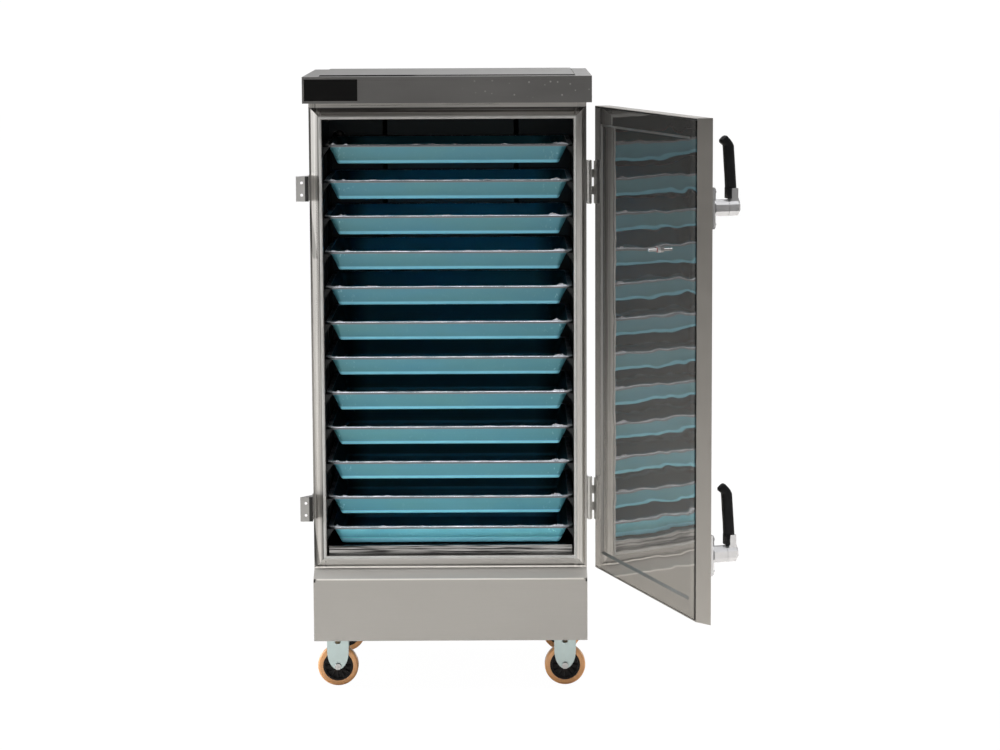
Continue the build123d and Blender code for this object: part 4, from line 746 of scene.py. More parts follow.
def rounded_rings(
    width: float, depth: float, inset: Array, corner: Array, height: Array, arc: int = 7
) -> Array:
    """Rings of a rounded rectangle, one for each entry of the profile.

    p(u, v) = (sx (W/2 - i(u) - c(u)) + c(u) cos v, sy (D/2 - i(u) - c(u)) + c(u) sin v, h(u)),
    where sx and sy are the signs of the corner that v lies in.

    Args:
        width, depth: the rectangle's outer sides.
        inset: how far each ring lies inside them, i.
        corner: each ring's corner radius, c.
        height: each ring's height, h.
        arc: steps round each corner.

    Returns:
        Points of shape (rings, 4 (arc + 1), 3).
    """
    quarter = np.linspace(0.0, math.pi / 2, arc + 1)
    v = (quarter[None, :] + np.arange(4)[:, None] * math.pi / 2).ravel()
    sx = np.repeat([1.0, -1.0, -1.0, 1.0], arc + 1)
    sy = np.repeat([1.0, 1.0, -1.0, -1.0], arc + 1)
    i, c, h = (np.asarray(a, float)[:, None] for a in (inset, corner, height))
    x = sx * (width / 2 - i - c) + c * np.cos(v)
    y = sy * (depth / 2 - i - c) + c * np.sin(v)
    return np.stack([x, y, np.broadcast_to(h, x.shape)], axis=-1)


def lathe(radius: Array, height: Array, turns: int = 48) -> Array:
    """Rings of a surface of revolution about local Z: p(u, v) = (r(u) cos v, r(u) sin v, h(u)).

    Args:
        radius, height: the profile, r and h.
        turns: points round each ring.

    Returns:
        Points of shape (profile, turns, 3).
    """
    v = np.arange(turns) * (2 * math.pi / turns)
    r, h = np.asarray(radius, float)[:, None], np.asarray(height, float)[:, None]
    return np.stack([r * np.cos(v), r * np.sin(v), h + 0 * v], axis=-1)


def spin(turn: float) -> Array:
    """Matrix that turns rows of points about local Z by an angle in radians."""
    return np.array([[math.cos(turn), math.sin(turn), 0], [-math.sin(turn), math.cos(turn), 0], [0, 0, 1]])


def bulged(wave: Array, power: float) -> Array:
    """A sine or cosine raised to a power with its sign kept; below 1 it squares a round section."""
    return np.sign(wave) * np.abs(wave) ** power


def fillet(centre: tuple[float, float], radius: float, start: float, end: float, steps: int = 6) -> Array:
    """Points of an arc, q(t) = centre + radius (cos t, sin t), from one angle in degrees to another."""
    t = np.radians(np.linspace(start, end, steps + 1))
    return np.stack([centre[0] + radius * np.cos(t), centre[1] + radius * np.sin(t)], axis=-1)


def hoop(centre: tuple[float, float], radius: float, steps: int, turns: int) -> Array:
    """Rings of a torus: a circle turned about local Z.

    Args:
        centre: the circle's distance from the axis and its height.
        radius: the circle's radius.
        steps: points round the circle.
        turns: points round the axis.

    Returns:
        Points of shape (steps, turns, 3).
    """
    circle = fillet(centre, radius, 0.0, 360.0, steps)[:-1]
    return lathe(circle[:, 0], circle[:, 1], turns)


@dataclass(frozen=True)
class Placement:
    """A local frame in the row frame, in millimetres."""

    origin: Point
    out: Point = (0.0, 0.0, 1.0)
    across: Point = (1.0, 0.0, 0.0)

    def apply(self, points: Array) -> Array:
        """Local points to the row frame: q = o + x a + y (n x a) + z n.

        Args:
            points: local points x, y and z.

        Returns:
            The points in the row frame, q.
        """
        out = np.asarray(self.out) / np.linalg.norm(self.out)
        across = np.asarray(self.across) / np.linalg.norm(self.across)
        basis = np.stack([across, np.cross(out, across), out])
        return points @ basis + np.asarray(self.origin)


def fan_volume(polygons: Array) -> float:
    """Six times the signed volume between polygons and the origin.

    Each polygon is cut into a fan from its first corner a, and the sum is that of (b - a) x (c - a) . a.

    Args:
        polygons: corners of shape (polygons, corners, 3).

    Returns:
        The sum, above 0 where the polygons face outwards.
    """
    first = polygons[:, :1]
    spokes = polygons[:, 1:] - first
    return float(np.sum(np.cross(spokes[:, :-1], spokes[:, 1:]) * first))


@dataclass(frozen=True)
class Shell:
    """A closed surface on a grid.

    rings has the shape (rings, points, 3), and every ring closes on itself. paint is the material number, one
    for the shell or one for each band and then the two caps. looped joins the last ring to the first instead
    of capping both ends. fade is a value for each ring, which materials read as the attribute "fade".
    """

    rings: Array
    paint: Any = 0
    looped: bool = False
    fade: Array | None = None

    def faces(self) -> tuple[Array, Array]:
        """The vertex numbers of its quads and its caps, turned so that the shell's volume is above 0.

        Returns:
            Quads of shape (quads, 4) and caps of shape (caps, points).
        """
        n, m = self.rings.shape[:2]
        i, j = np.meshgrid(np.arange(n if self.looped else n - 1), np.arange(m), indexing="ij")
        i2, j2 = (i + 1) % n, (j + 1) % m
        quads = np.stack([i * m + j, i * m + j2, i2 * m + j2, i2 * m + j], axis=-1).reshape(-1, 4)
        ends = [np.arange(m)[::-1], (n - 1) * m + np.arange(m)]
        caps = np.empty((0, m), int) if self.looped else np.stack(ends)
        flat = self.rings.reshape(-1, 3)
        way = 1 if fan_volume(flat[quads]) + fan_volume(flat[caps]) > 0 else -1
        return quads[:, ::way], caps[:, ::way]

    def paints(self, bands: int, caps: int) -> Array:
        """The material number of every quad and then of every cap."""
        paint = self.paint if np.ndim(self.paint) else np.full(bands + caps, self.paint)
        return np.concatenate([np.repeat(paint[:bands], self.rings.shape[1]), paint[bands:]])

    def fades(self) -> Array:
        """The fade of every vertex, 0 where the shell has none."""
        n, m = self.rings.shape[:2]
        return np.repeat(np.zeros(n) if self.fade is None else self.fade, m)


@dataclass
class Piece:
    """One drawn piece of the object: closed shells in millimetres that ride on a body."""

    name: str
    body: str
    slot: str
    shells: list[Shell] = field(default_factory=list)

    def shell(self, rings: Array, paint: Any = 0, looped: bool = False, fade: Array | None = None) -> "Piece":
        """Adds a shell, whose fields the arguments are, and returns the piece for the next call."""
        self.shells.append(Shell(rings, paint, looped, fade))
        return self

    def mesh(self) -> bpy.types.Mesh:
        """Puts all shells into one mesh, in metres, as whole arrays.

        Returns:
            The mesh, still without finishes.
        """
        corners, totals, paints, base = [], [], [], 0
        for shell in self.shells:
            n, m = shell.rings.shape[:2]
            quads, caps = shell.faces()
            corners += [(quads + base).ravel(), (caps + base).ravel()]
            totals += [np.full(len(quads), 4), np.full(len(caps), m)]
            paints.append(shell.paints(len(quads) // m, len(caps)))
            base += n * m
        vertices = np.concatenate([shell.rings.reshape(-1, 3) for shell in self.shells]) * MM
        loops, sides = np.concatenate(corners), np.concatenate(totals)
        mesh = bpy.data.meshes.new(self.name)
        mesh.vertices.add(len(vertices))
        mesh.vertices.foreach_set("co", vertices.ravel())
        mesh.loops.add(len(loops))
        mesh.loops.foreach_set("vertex_index", loops)
        mesh.polygons.add(len(sides))
        mesh.polygons.foreach_set("loop_start", np.concatenate([[0], np.cumsum(sides)[:-1]]))
        mesh.polygons.foreach_set("material_index", np.concatenate(paints))
        mesh.polygons.foreach_set("use_smooth", np.ones(len(sides), bool))
        if any(shell.fade is not None for shell in self.shells):
            fades = np.concatenate([shell.fades() for shell in self.shells])
            mesh.attributes.new("fade", "FLOAT", "POINT").data.foreach_set("value", fades)
        return mesh

    def build(self, *finishes: Finish, sharp: float = 32.0, replaces: Sequence[str] = ()) -> bpy.types.Object:
        """Makes the object.

        Args:
            finishes: finishes in the order of the material numbers.
            sharp: edges over this angle in degrees stay sharp.
            replaces: CAD nodes that the piece stands for.

        Returns:
            The object, riding on its body.
        """
        mesh = self.mesh()
        for finish in finishes:
            mesh.materials.append(finish.material())
        mesh.update(calc_edges=True)
        mesh.validate()
        mesh.set_sharp_from_angle(angle=math.radians(sharp))
        obj = bpy.data.objects.new(self.name, mesh)
        bpy.context.scene.collection.objects.link(obj)
        if replaces:
            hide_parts(*replaces)
        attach(obj, self.body)
        LOG.info("%s: %d faces on %s", self.name, len(mesh.polygons), self.body)
        return obj


def bar(size: Point, bevel: float = 0.4, corner: float = 0.8) -> Array:
    """Rings of a block with rounded upright corners and bevelled ends, standing on local Z = 0.

    Args:
        size: width, depth and height.
        bevel: the bevel at both ends.
        corner: radius of the upright corners.

    Returns:
        Four rings.
    """
    width, depth, height = size
    inset = np.array([bevel, 0.0, 0.0, bevel])
    rise = np.array([0.0, bevel, height - bevel, height])
    return rounded_rings(width, depth, inset, np.full(4, corner), rise, 3)


@dataclass(frozen=True)
class PanHead:
    """A pan-head screw with a slot, or a plain dome for a rivet."""

    radius: float = 4.0
    rise: float = 2.2
    slotted: bool = True
    sweep: float = 1.53
    fullness: float = 0.55
    brim: float = 0.25
    sunk: float = 0.3

    def add_to(self, piece: Piece, place: Placement, turn: float = 0.0) -> None:
        """Adds the head to a piece.

        Its dome is r = R cos(a)^f and h = H (b + (1 - b) sin(a)), with a from 0 to the sweep, f the fullness
        and b the brim, the share of the rise H that its edge has.

        Args:
            piece: the piece that collects it.
            place: its seat, with local Z outwards.
            turn: the slot's angle in degrees.
        """
        a = np.linspace(0.0, 1.0, 9) * self.sweep
        radius = np.append(self.radius, self.radius * np.cos(a) ** self.fullness)
        height = np.append(-self.sunk, self.rise * (self.brim + (1.0 - self.brim) * np.sin(a)))
        piece.shell(place.apply(lathe(radius, height, 28)))
        if self.slotted:
            # The slot is not cut: a thin black bar on the dome stands for it as painted shade.
            cut = bar((self.radius * 1.35, self.radius * 0.24, 0.12), 0.02, 0.1)
            cut = cut @ spin(math.radians(turn))
            cut[..., 2] += self.rise * 0.985
            piece.shell(place.apply(cut), 1)


def slot_angles(count: int, seed: int) -> Array:
    """Angles in degrees for a row of screw slots, as a hand would leave them."""
    return np.random.default_rng(seed).uniform(0.0, 180.0, count)


# Sub-assemblies


@dataclass(frozen=True)
class TrayStack:
    """The twelve drawn trays: rolled rim, tapered walls and a soft radius round the bottom."""

    width: float = 600.0
    depth: float = 400.0
    front: float = -224.6
    height: float = 47.4
    lowest_height: float = 45.0
    sheet: float = 1.2
    flange: float = 11.0
    draft: float = 22.0
    bend: float = 3.0
    lip: float = 6.0
    roll: float = 2.6
    corner: float = 28.0
    bottom_radius: float = 3.6
    top_rim: float = 1335.4
    pitch: float = 85.8
    lowest_rim: float = 402.2
    count: int = 12

    def section(self, depth: float) -> tuple[Array, Array, Array]:
        """The closed section from the inside of the bottom over the rim to its underside.

        Args:
            depth: the tray's height over all.

        Returns:
            Inset, height from the rim's top and material number of each point: 0 film, 1 rim, 2 lip.
        """
        wall = self.flange + self.draft
        lean = math.degrees(math.atan2(self.draft, depth))
        radius, sheet, roll, bend = self.bottom_radius, self.sheet, self.roll, self.bend
        foot = (wall + radius * 0.62, radius - depth)
        inner_foot = fillet(foot, radius - sheet, -90.0, -180.0 + lean, 7)
        inner_top = fillet((self.flange - 2.0, -bend), bend, lean, 90.0, 5)
        inner_top[:, 0] += sheet * 0.6
        rim = fillet((roll, -roll), roll, 90.0, 150.0, 5)
        turned = fillet((roll, -roll), roll, 160.0, 180.0, 2)
        curl_out = np.array([[0.0, -self.lip + 0.5], [0.35, -self.lip]])
        curl_in = np.array([[sheet - 0.3, -self.lip], [sheet, -self.lip + 0.5]])
        rim_in = fillet((roll, -roll), roll - sheet, 180.0, 90.0, 6)
        outer_top = fillet((self.flange - 2.0, -bend), bend - sheet, 90.0, lean, 4)
        outer_foot = fillet(foot, radius, -180.0 + lean, -90.0, 7)
        rolled = ((turned, 2), (curl_out, 2), (curl_in, 2), (rim_in, 2), (outer_top, 2))
        parts = ((inner_foot, 0), (inner_top, 1), (rim, 1), *rolled, (outer_foot, 0))
        points = np.concatenate([p for p, _ in parts])
        paint = np.concatenate([np.full(len(p), number) for p, number in parts])
        return points[:, 0], points[:, 1], paint

    def build(self) -> None:
        """Draws each tray and its film creases along the rim; the lowest is shallower, to clear the deck."""
        for number in range(1, self.count + 1):
            lowest = number == self.count
            depth = self.lowest_height if lowest else self.height
            rim = self.lowest_rim if lowest else self.top_rim - self.pitch * (number - 1)
            inset, height, paint = self.section(depth)
            corner = np.clip(self.corner - inset * 0.62, 7.0, None)
            rings = rounded_rings(self.width, self.depth, inset, corner, height, 9)
            bands = np.append(np.minimum(paint[1:], paint[:-1]), [0, 0])
            # The fade rises towards the foot, where the film's finish places its painted highlight.
            fade = np.clip((-height - 0.45 * depth) / (0.55 * depth), 0.0, 1.0)
            place = Placement((0.0, self.front + self.depth / 2, rim))
            piece = Piece(f"drawn_tray_{number}", f"tray_{number}_pan", "tray_metal")
            piece.shell(place.apply(rings), bands, fade=fade)
            piece.build(Look.FILM, Look.RIM, Look.LIP, sharp=40.0, replaces=[f"tray_{number}"])
            self.scraps(number, rim)

    def scraps(self, number: int, rim: float) -> None:
        """Crumpled film left standing on the front rim, most of it at the right corner.

        Each scrap is a ribbon along X: y = y0 + a(x), with z from the rim to rim + h(x), a and h at random.

        Args:
            number: the tray's number.
            rim: height of its rim's top.
        """
        rng = np.random.default_rng(number)
        piece = Piece(f"film_scraps_{number}", f"tray_{number}_pan", "tray_metal")
        counts = (2, 2, 5)
        ranges = (
            ((240.0, 262.0), (-288.0, -250.0), (-220.0, 200.0)),
            ((18.0, 30.0), (8.0, 20.0), (6.0, 30.0)),
            ((4.0, 7.5), (2.0, 5.0), (0.8, 2.2)),
        )
        starts, lengths, heights = (
            np.concatenate([rng.uniform(low, high, count) for (low, high), count in zip(row, counts)])
            for row in ranges
        )
        for start, length, tall in zip(starts, lengths, heights):
            steps = max(5, int(length / 1.6))
            t = np.linspace(0.0, 1.0, steps)
            x = start + t * length
            y = self.front + 3.2 + np.cumsum(rng.normal(0.0, 0.55, steps)).clip(-2.4, 5.0)
            top = tall * np.sin(math.pi * t) * rng.uniform(0.35, 1.0, steps) + 0.25
            lean = rng.normal(0.0, 1.3, steps)
            low = np.stack([x, y, np.full(steps, rim - 0.3)], axis=-1)
            high = np.stack([x, y + lean, rim + top], axis=-1)
            thick = np.array([0.0, 0.12, 0.0])
            piece.shell(np.stack([low - thick, high - thick, high + thick, low + thick], axis=1))
        piece.build(Look.SCRAP, sharp=25.0)


@dataclass(frozen=True)
class Casters:
    """Wheels with a rounded tread and a ribbed core, and the heads on their axles."""

    spread_x: float = 280.0
    spread_y: float = 190.0
    radius: float = 50.0
    width: float = 30.0
    core: float = 37.0
    hub: float = 14.0
    hub_length: float = 32.0
    bore: float = 5.2
    cheek: float = 20.0
    shoulder: float = 6.0
    ribs: int = 12
    rib_height: float = 3.2
    rib_reach: float = 9.5
    turns: int = 96
    axle_head: PanHead = PanHead(8.5, 3.4, slotted=False)

    def tread(self) -> Array:
        """Rings of the tread: a closed profile with rounded shoulders.

        Returns:
            Rings about the axle.
        """
        half, shoulder = self.width / 2, self.shoulder
        front = fillet((self.radius - shoulder, half - shoulder), shoulder, 90.0, 0.0, 6)
        back = fillet((self.radius - shoulder, shoulder - half), shoulder, 0.0, -90.0, 6)
        profile = np.concatenate([[[self.core, half - 0.6]], front, back, [[self.core, 0.6 - half]]])
        return lathe(profile[:, 0], profile[:, 1], self.turns)

    def core_rings(self) -> Array:
        """Rings of the core; its web stands out in n ribs of height H: h(r, v) = h0 + H b(r) cos(n v / 2)^8.

        Returns:
            Rings about the axle.
        """
        half, hub_half = self.width / 2, self.hub_length / 2
        rim, web = self.core - 5.0, half - 7.0
        middle = 0.5 * (self.hub + rim)
        radius = [self.bore, self.hub - 1, self.hub, self.hub + 0.6, self.hub + 3, middle]
        radius += [rim - 3, rim - 0.6, rim, self.core - 0.8, self.core]
        height = [hub_half, hub_half, hub_half - 1, web + 1.2, web, web]
        height += [web, web + 1.0, half - 0.5, half, half - 0.8]
        r, h = np.array(radius + radius[::-1]), np.array(height + [-q for q in height[::-1]])
        rings = lathe(r, h, self.turns)
        v = np.arange(self.turns) * (2 * math.pi / self.turns)
        swell = np.sqrt(np.clip(1.0 - np.abs(r - middle) / self.rib_reach, 0.0, 1.0))[:, None]
        rings[..., 2] += np.sign(h)[:, None] * self.rib_height * swell * np.cos(self.ribs / 2 * v) ** 8
        return rings

    def build(self) -> None:
        """Replaces the four cores and treads and adds axle heads."""
        heads = Piece("axle_heads", "cabinet", "bolt_steel")
        for side, sx in (("left", -1), ("right", 1)):
            for end, sy in (("front", -1), ("rear", 1)):
                corner = f"{end}_{side}"
                hub = (sx * self.spread_x, sy * self.spread_y, self.radius)
                place = Placement(hub, (0, -1, 0), (1, 0, 0))
                core = Piece(f"ribbed_core_{corner}", f"wheel_{corner}", "core_plastic")
                core.shell(place.apply(self.core_rings()), looped=True)
                core.build(Look.CORE, replaces=[f"wheel_core_{corner}"])
                tread = Piece(f"rounded_tread_{corner}", f"wheel_{corner}", "tread_urethane")
                tread.shell(place.apply(self.tread()), looped=True)
                tread.build(Look.TREAD, replaces=[f"wheel_tread_{corner}"])
                for way in (-1, 1):
                    seat = (hub[0], hub[1] + way * self.cheek, hub[2])
                    self.axle_head.add_to(heads, Placement(seat, (0, way, 0), (1, 0, 0)))
        heads.build(Look.ZINC)


@dataclass(frozen=True)
class DoorFace:
    """The open door's frame: s along it from its hinged edge, n outwards from its inner plane, z up."""

    pin: tuple[float, float] = HINGE_PIN
    along: tuple[float, float] = DOOR_ALONG
    out: tuple[float, float] = DOOR_OUT
    standoff: float = HINGE_STANDOFF
    gap: float = DOOR_GAP
    thickness: float = 37.0

    def at(self, s: float, n: float, z: float) -> Point:
        """A point on or beside the door.

        Args:
            s: distance along the door from its hinged edge.
            n: distance outwards from its inner plane.
            z: height.

        Returns:
            The point in the row frame.
        """
        s, n = s + self.standoff, n + self.gap
        x, y = (pin + s * along + n * out for pin, along, out in zip(self.pin, self.along, self.out))
        return (x, y, z)

    def place(self, s: float, n: float, z: float, side: int = 1) -> Placement:
        """A seat on the door, facing outwards, or inwards with side -1."""
        return Placement(self.at(s, n, z), (side * self.out[0], side * self.out[1], 0.0), (*self.along, 0.0))


@dataclass(frozen=True)
class Latches:
    """Moulded grips with a soft section, hub caps and the screws of the bases."""

    door: DoorFace = DoorFace()
    inset: float = 640.0
    heights: tuple[tuple[str, float], ...] = (("lower", 450.0), ("upper", 1228.0))
    half_width: float = 11.0
    squareness: float = 0.62
    hub_end: float = 70.1
    base_rise: float = 11.5
    screw_spread: tuple[float, float] = (11.5, 36.0)
    tongue_size: Point = (25.4, 8.6, 24.0)
    tongue_seat: Point = (0.0, 46.6, 20.0)
    cap: PanHead = PanHead(8.5, 2.4, slotted=False)
    screw: PanHead = PanHead(3.2, 1.6)
    seed: int = 7

    def grip_rings(self) -> Array:
        """Rings of the grip along its rise z.

        x = w(z) |sin v|^p sgn(sin v) and y = c(z) + a(z) |cos v|^p sgn(cos v), with p the squareness.

        Returns:
            Rings with x along the door, y outwards and z up from the hub's axis.
        """
        rise = np.array([43.0, 44.0, 47.0, 70.0, 100.0, 125.0, 137.0, 144.0, 149.5, 154.5, 157.5, 159.0])
        inner = np.array([39.9, 39.9, 40.0, 38.9, 36.6, 35.2, 34.2, 25.9, 25.6, 30.6, 34.6, 37.8])
        outer = np.array([64.1, 64.1, 63.9, 62.3, 60.3, 58.5, 57.6, 54.2, 50.0, 45.2, 42.2, 40.2])
        width = np.array([0.80, 0.93, 1.0, 1.0, 0.98, 1.0, 1.0, 1.0, 0.97, 0.90, 0.78, 0.55])
        width = width * self.half_width
        z = np.unique(np.concatenate([np.linspace(47.0, 159.0, 45), rise]))
        inner, outer, width = (np.interp(z, rise, a) for a in (inner, outer, width))
        v = np.arange(40) * (2 * math.pi / 40)
        centre, half = (inner + outer) / 2, (outer - inner) / 2
        x = width[:, None] * bulged(np.sin(v), self.squareness)
        y = centre[:, None] + half[:, None] * bulged(np.cos(v), self.squareness)
        return np.stack([x, y, np.broadcast_to(z[:, None], x.shape)], axis=-1)

    def build(self) -> None:
        """Replaces both grips; adds a cap on each hub and four screws on each base."""
        screws = Piece("latch_base_screws", "door", "bolt_steel")
        turns = iter(slot_angles(4 * len(self.heights), self.seed))
        turned = np.array([[*self.door.along, 0], [*self.door.out, 0], [0, 0, 1]])
        tongue = bar(self.tongue_size, 0.6, 1.5) + np.array(self.tongue_seat)
        for name, height in self.heights:
            base = np.asarray(self.door.at(self.inset, self.door.thickness, height))
            grip = Piece(f"moulded_grip_{name}", f"{name}_latch", "grip_plastic")
            grip.shell(base + self.grip_rings() @ turned).shell(base + tongue @ turned)
            grip.build(Look.GRIP, sharp=50.0, replaces=[f"latch_grip_{name}"])
            cap = Piece(f"hub_cap_{name}", f"{name}_latch", "latch_chrome")
            seat = self.door.place(self.inset, self.door.thickness + self.hub_end, height)
            self.cap.add_to(cap, seat)
            cap.build(Look.CHROME)
            across, up = self.screw_spread
            for s in (-across, across):
                for z in (-up, up):
                    seat = self.door.place(self.inset + s, self.door.thickness + self.base_rise, height + z)
                    self.screw.add_to(screws, seat, next(turns))
        screws.build(Look.SCREW, Look.BLACK)


@dataclass(frozen=True)
class Gauge:
    """The dial thermometer's face: bezel, scale with plain numbers, needle and washer."""

    door: DoorFace = DoorFace()
    along: float = 428.0
    height: float = 1118.0
    thickness: float = 14.0
    face_radius: float = 25.5
    scale_radius: float = 23.4
    number_radius: float = 15.6
    number_size: float = 5.2
    number_step: int = 20
    full_scale: int = 120
    scale_start: float = 225.0
    degrees_each: float = 2.25
    steps: int = 40
    needle_turn: float = 96.0
    collar_end: float = -3.0

    def build(self) -> None:
        """Draws the face on top of the CAD case, and the seals outside and inside the door."""
        place = self.door.place(self.along, self.door.thickness + self.thickness, self.height)
        dial = Piece("dial_face", "door", "gauge_metal")
        dial.shell(place.apply(lathe([self.face_radius, self.face_radius, 0.05], [-0.2, 0.3, 0.3], 64)))
        dial.build(Look.DIAL)
        bezel = Piece("dial_bezel", "door", "gauge_metal")
        bezel.shell(place.apply(hoop((27.6, 0.6), 2.2, 14, 72)), looped=True).build(Look.CHROME)
        self.marks(place)
        self.needle(place)
        for value in range(0, self.full_scale + 1, self.number_step):
            self.number(place, value, math.radians(self.scale_start - value * self.degrees_each))
        washer, foot = Piece("gauge_washer", "door", "gasket"), 1.3 - self.thickness
        washer.shell(place.apply(hoop((31.2, foot), 1.2, 10, 64)), looped=True).build(Look.WASHER)
        seal = Piece("probe_seal", "door", "gasket")
        collar = self.door.place(self.along, self.collar_end, self.height, -1)
        seal.shell(collar.apply(hoop((4.6, 0.9), 0.9, 10, 32)), looped=True).build(Look.WASHER)

    def marks(self, place: Placement) -> None:
        """Adds the scale's long and short marks.

        Args:
            place: the face's seat.
        """
        marks = Piece("dial_marks", "door", "gauge_metal")
        for step in range(self.steps + 1):
            angle = math.radians(self.scale_start - step * self.full_scale * self.degrees_each / self.steps)
            width, reach = (0.7, 3.6) if step % 4 == 0 else (0.35, 2.0)
            tick = bar((width, reach, 0.08), 0.01, 0.05)
            tick[..., 1] += self.scale_radius - reach / 2
            tick = tick @ spin(angle - math.pi / 2)
            tick[..., 2] += 0.3
            marks.shell(place.apply(tick))
        marks.build(Look.BLACK)

    def needle(self, place: Placement) -> None:
        """Adds the needle and its hub.

        Args:
            place: the face's seat.
        """
        needle = Piece("dial_needle", "door", "gauge_metal")
        inset, corner, rise = np.array([0.1, 0.0, 0.1]), np.full(3, 0.3), np.array([0.6, 0.8, 1.0])
        pointer = rounded_rings(1.0, 20.0, inset, corner, rise, 2)
        pointer[..., 1] += 6.0
        needle.shell(place.apply(pointer @ spin(math.radians(self.needle_turn))))
        needle.shell(place.apply(lathe([2.6, 2.6, 0.05], [0.4, 1.6, 1.9], 32)))
        needle.build(Look.LEVER)

    def number(self, place: Placement, value: int, angle: float) -> None:
        """Sets one plain number inside the scale.

        Args:
            place: the face's seat.
            value: the number.
            angle: its place on the scale, in radians.
        """
        curve = bpy.data.curves.new(f"dial_number_{value}", "FONT")
        curve.body, curve.size = str(value), self.number_size * MM
        curve.align_x, curve.align_y, curve.extrude = "CENTER", "CENTER", 0.04 * MM
        seed = bpy.data.objects.new(f"dial_seed_{value}", curve)
        bpy.context.scene.collection.objects.link(seed)
        bpy.context.view_layer.update()
        mesh = bpy.data.meshes.new_from_object(seed.evaluated_get(bpy.context.evaluated_depsgraph_get()))
        bpy.data.objects.remove(seed)
        points = np.empty(len(mesh.vertices) * 3)
        mesh.vertices.foreach_get("co", points)
        offset = (self.number_radius * math.cos(angle), self.number_radius * math.sin(angle), 0.38)
        local = points.reshape(-1, 3) / MM + np.array(offset)
        mesh.vertices.foreach_set("co", (place.apply(local) * MM).ravel())
        mesh.update()
        obj = bpy.data.objects.new(f"dial_number_{value}", mesh)
        bpy.context.scene.collection.objects.link(obj)
        mesh.materials.clear()
        mesh.materials.append(Look.BLACK.material())
        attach(obj, "door")


@dataclass(frozen=True)
class Bodywork:
    """Hem, rivets and screws of the sheet metal."""

    cover_side: float = 345.0
    cover_front: float = -288.0
    cover_back: float = 250.0
    hem_height: float = 1491.0
    rivet_height: float = 1450.0
    side_rivets: tuple[float, ...] = (-250.0, -90.0, 70.0, 225.0)
    back_rivets: tuple[float, ...] = (-300.0, -150.0, 0.0, 150.0, 300.0)
    rivet: PanHead = PanHead(3.2, 1.4, slotted=False)
    pin: tuple[float, float] = HINGE_PIN
    hinge_heights: tuple[float, ...] = (474.5, 1244.5)
    pin_reach: float = 51.0
    pin_head: PanHead = PanHead(5.6, 2.2, slotted=False)
    lid_face: float = 302.0
    lid_columns: tuple[float, ...] = (-104.0, 104.0)
    lid_rows: tuple[float, ...] = (147.0, 206.0, 265.0)
    lid_screw: PanHead = PanHead(3.6, 1.8)
    seed: int = 5

    def build(self) -> None:
        """Adds each group of details."""
        self.cover()
        self.hinges()
        self.back()

    def cover(self) -> None:
        """The cover's folded seam under its top edge, and rivets along its sides and back."""
        hems = Piece("cover_hem", "cabinet", "cover_sheet")
        bead = bar((2 * self.cover_side - 3.0, 1.4, 0.5), 0.15, 0.4)
        hems.shell(Placement((0, self.cover_front, self.hem_height), (0, -1, 0), (1, 0, 0)).apply(bead))
        hems.build(Look.COVER)
        rivets = Piece("cover_rivets", "cabinet", "bolt_steel")
        for side in (-1, 1):
            for y in self.side_rivets:
                seat = (side * self.cover_side, y, self.rivet_height)
                self.rivet.add_to(rivets, Placement(seat, (side, 0, 0), (0, 1, 0)))
        for x in self.back_rivets:
            seat = (x, self.cover_back, self.rivet_height)
            self.rivet.add_to(rivets, Placement(seat, (0, 1, 0), (1, 0, 0)))
        rivets.build(Look.SCREW)

    def hinges(self) -> None:
        """Heads on the hinge pins."""
        heads = Piece("hinge_pin_heads", "cabinet", "hinge_metal")
        for height in self.hinge_heights:
            for way in (-1, 1):
                seat = (*self.pin, height + way * self.pin_reach)
                self.pin_head.add_to(heads, Placement(seat, (0, 0, way), (1, 0, 0)))
        heads.build(Look.HINGE)

    def back(self) -> None:
        """Screws down both sides of the wiring box's face."""
        screws = Piece("back_screws", "cabinet", "bolt_steel")
        places = [(x, self.lid_face, z) for x in self.lid_columns for z in self.lid_rows]
        for place, turn in zip(places, slot_angles(len(places), self.seed)):
            self.lid_screw.add_to(screws, Placement(place, (0, 1, 0), (1, 0, 0)), turn)
        screws.build(Look.SCREW, Look.BLACK)


# Studio


@dataclass(frozen=True)
class Lamp:
    """A rectangular lamp aimed at a point, in metres."""

    name: str
    place: Point
    aim: Point
    size: tuple[float, float]
    watts: float

    def hang(self) -> None:
        """Adds the lamp to the scene."""
        light = bpy.data.lights.new(self.name, "AREA")
        light.shape, light.energy = "RECTANGLE", self.watts
        light.size, light.size_y = self.size
        obj = bpy.data.objects.new(self.name, light)
        obj.location = self.place
        obj.rotation_euler = (Vector(self.aim) - Vector(self.place)).to_track_quat("-Z", "Y").to_euler()
        bpy.context.scene.collection.objects.link(obj)


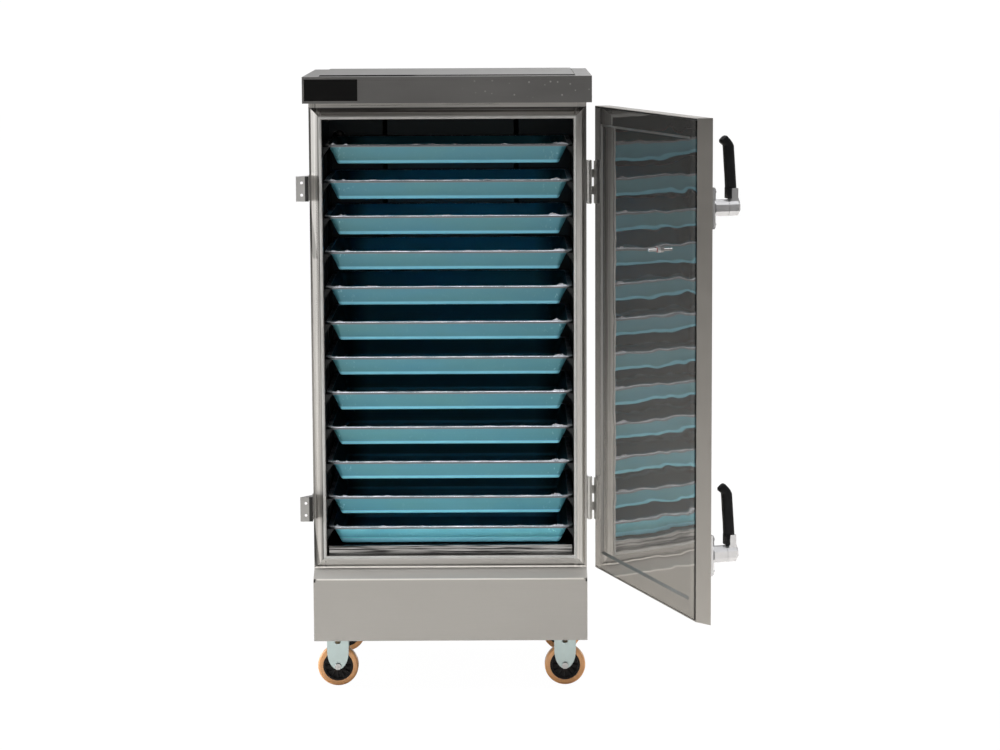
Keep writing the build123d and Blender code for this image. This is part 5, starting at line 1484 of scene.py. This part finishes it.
@dataclass(frozen=True)
class Studio:
    """Camera, floor, lamps and world.

    focal and width are in pixels of the photograph; cover is how much of the floor's shade the white hides.
    """

    eye: Point = (0.129939, -7.496233, 1.758937)
    yaw: float = -0.0009660238
    pitch: float = 0.1344964239
    roll: float = -0.0049549388
    focal: float = 3021.013
    width: int = 1000
    floor_reach: float = 30.0
    floor_near: Colour = (0.16, 0.155, 0.15)
    floor_far: Colour = (0.86, 0.835, 0.80)
    white: float = 1.02
    cover: float = 0.97
    lamps: tuple[Lamp, ...] = (
        Lamp("top", (0.0, -0.7, 5.2), (0.0, -0.7, 0.0), (3.4, 3.0), 240.0),
        Lamp("left", (-5.6, 1.4, 2.8), (0.0, 0.0, 0.8), (2.6, 2.6), 110.0),
        Lamp("right", (5.4, 0.8, 2.2), (0.1, 0.0, 0.7), (2.4, 2.6), 50.0),
        Lamp("back", (1.6, 4.2, 5.0), (0.0, 0.0, 0.8), (3.0, 2.0), 60.0),
    )

    def camera(self) -> None:
        """Sets the camera to the fitted place, with its axes from yaw, pitch and roll."""
        level = math.cos(self.pitch)
        forward = Vector((math.sin(self.yaw) * level, math.cos(self.yaw) * level, -math.sin(self.pitch)))
        right = Vector((math.cos(self.yaw), -math.sin(self.yaw), 0.0))
        up = right.cross(forward)
        across = math.cos(self.roll) * right + math.sin(self.roll) * up
        upright = math.cos(self.roll) * up - math.sin(self.roll) * right
        data = bpy.data.cameras.new("camera")
        data.sensor_width, data.lens = 36.0, self.focal * 36.0 / self.width
        data.clip_end = 60.0
        obj = bpy.data.objects.new("camera", data)
        rows = zip(across, upright, -forward, self.eye)
        obj.matrix_world = Matrix([*rows, (0.0, 0.0, 0.0, 1.0)])
        bpy.context.scene.collection.objects.link(obj)
        bpy.context.scene.camera = obj

    def floor(self) -> None:
        """A wide floor, pale but darker towards the camera, which sees it as white with a trace of shadow."""
        recipe = Recipe("floor")
        away = recipe.axis("Y").above(-5.6, 3.4)
        recipe.put("Base Color", recipe.blend(away, self.floor_near, self.floor_far))
        recipe.put("Roughness", 0.75 + recipe.noise(2.0) * 0.1)
        direct = recipe.add("ShaderNodeLightPath", {}, {}, "Is Camera Ray") * self.cover
        white = recipe.add("ShaderNodeEmission", {}, {"Color": WHITE, "Strength": self.white})
        shader = Wire(recipe, recipe.shader.outputs[0])
        mixed = recipe.add("ShaderNodeMixShader", {}, {0: direct, 1: shader, 2: white})
        recipe.set(recipe.output.inputs["Surface"], mixed)
        mesh = bpy.data.meshes.new("floor")
        reach = self.floor_reach
        corners = [(-reach, -reach, 0), (reach, -reach, 0), (reach, reach, 0), (-reach, reach, 0)]
        mesh.from_pydata(corners, [], [(0, 1, 2, 3)])
        mesh.materials.append(recipe.material)
        obj = bpy.data.objects.new("floor", mesh)
        bpy.context.scene.collection.objects.link(obj)

    def world(self) -> None:
        """White to the camera; elsewhere a room: dim low at the front, bright above and to the left."""
        world = bpy.data.worlds.new("studio")
        world.use_nodes = True
        bpy.context.scene.world = world
        sky = NodeBoard(world.node_tree)
        place = sky.add("ShaderNodeTexCoord", {}, {}, "Generated")
        sides, depth, height = (sky.add("ShaderNodeSeparateXYZ", {}, {0: place}, axis) for axis in "XYZ")
        ceiling = height.above(0.86, 0.22)
        steep = height.above(0.42, 0.36)
        left = (-sides).above(0.70, 0.16)
        right = sides.above(0.80, 0.4)
        behind = depth.above(0.86, 0.25)
        light = 0.16 - steep * 0.11 + ceiling * 1.2 + left * 2.3 + right * 0.30 + behind * 0.26
        seen = sky.add("ShaderNodeLightPath", {}, {}, "Is Camera Ray")
        strength = sky.add("ShaderNodeMix", {}, {0: seen, 2: light, 3: self.white})
        background = sky.add("ShaderNodeBackground", {}, {"Color": WHITE, "Strength": strength})
        output = sky.tree.nodes.new("ShaderNodeOutputWorld")
        sky.set(output.inputs[0], background)

    def build(self) -> None:
        """Sets up everything round the object."""
        self.camera()
        self.floor()
        self.world()
        for lamp in self.lamps:
            lamp.hang()
        bpy.context.scene.view_settings.view_transform = "Standard"
        LOG.info("studio with %d lamps", len(self.lamps))


def main() -> None:
    """Dresses the object and sets the studio."""
    dress_nodes()
    TrayStack().build()
    Casters().build()
    Latches().build()
    Gauge().build()
    Bodywork().build()
    Studio().build()


if __name__ == "__main__":
    main()
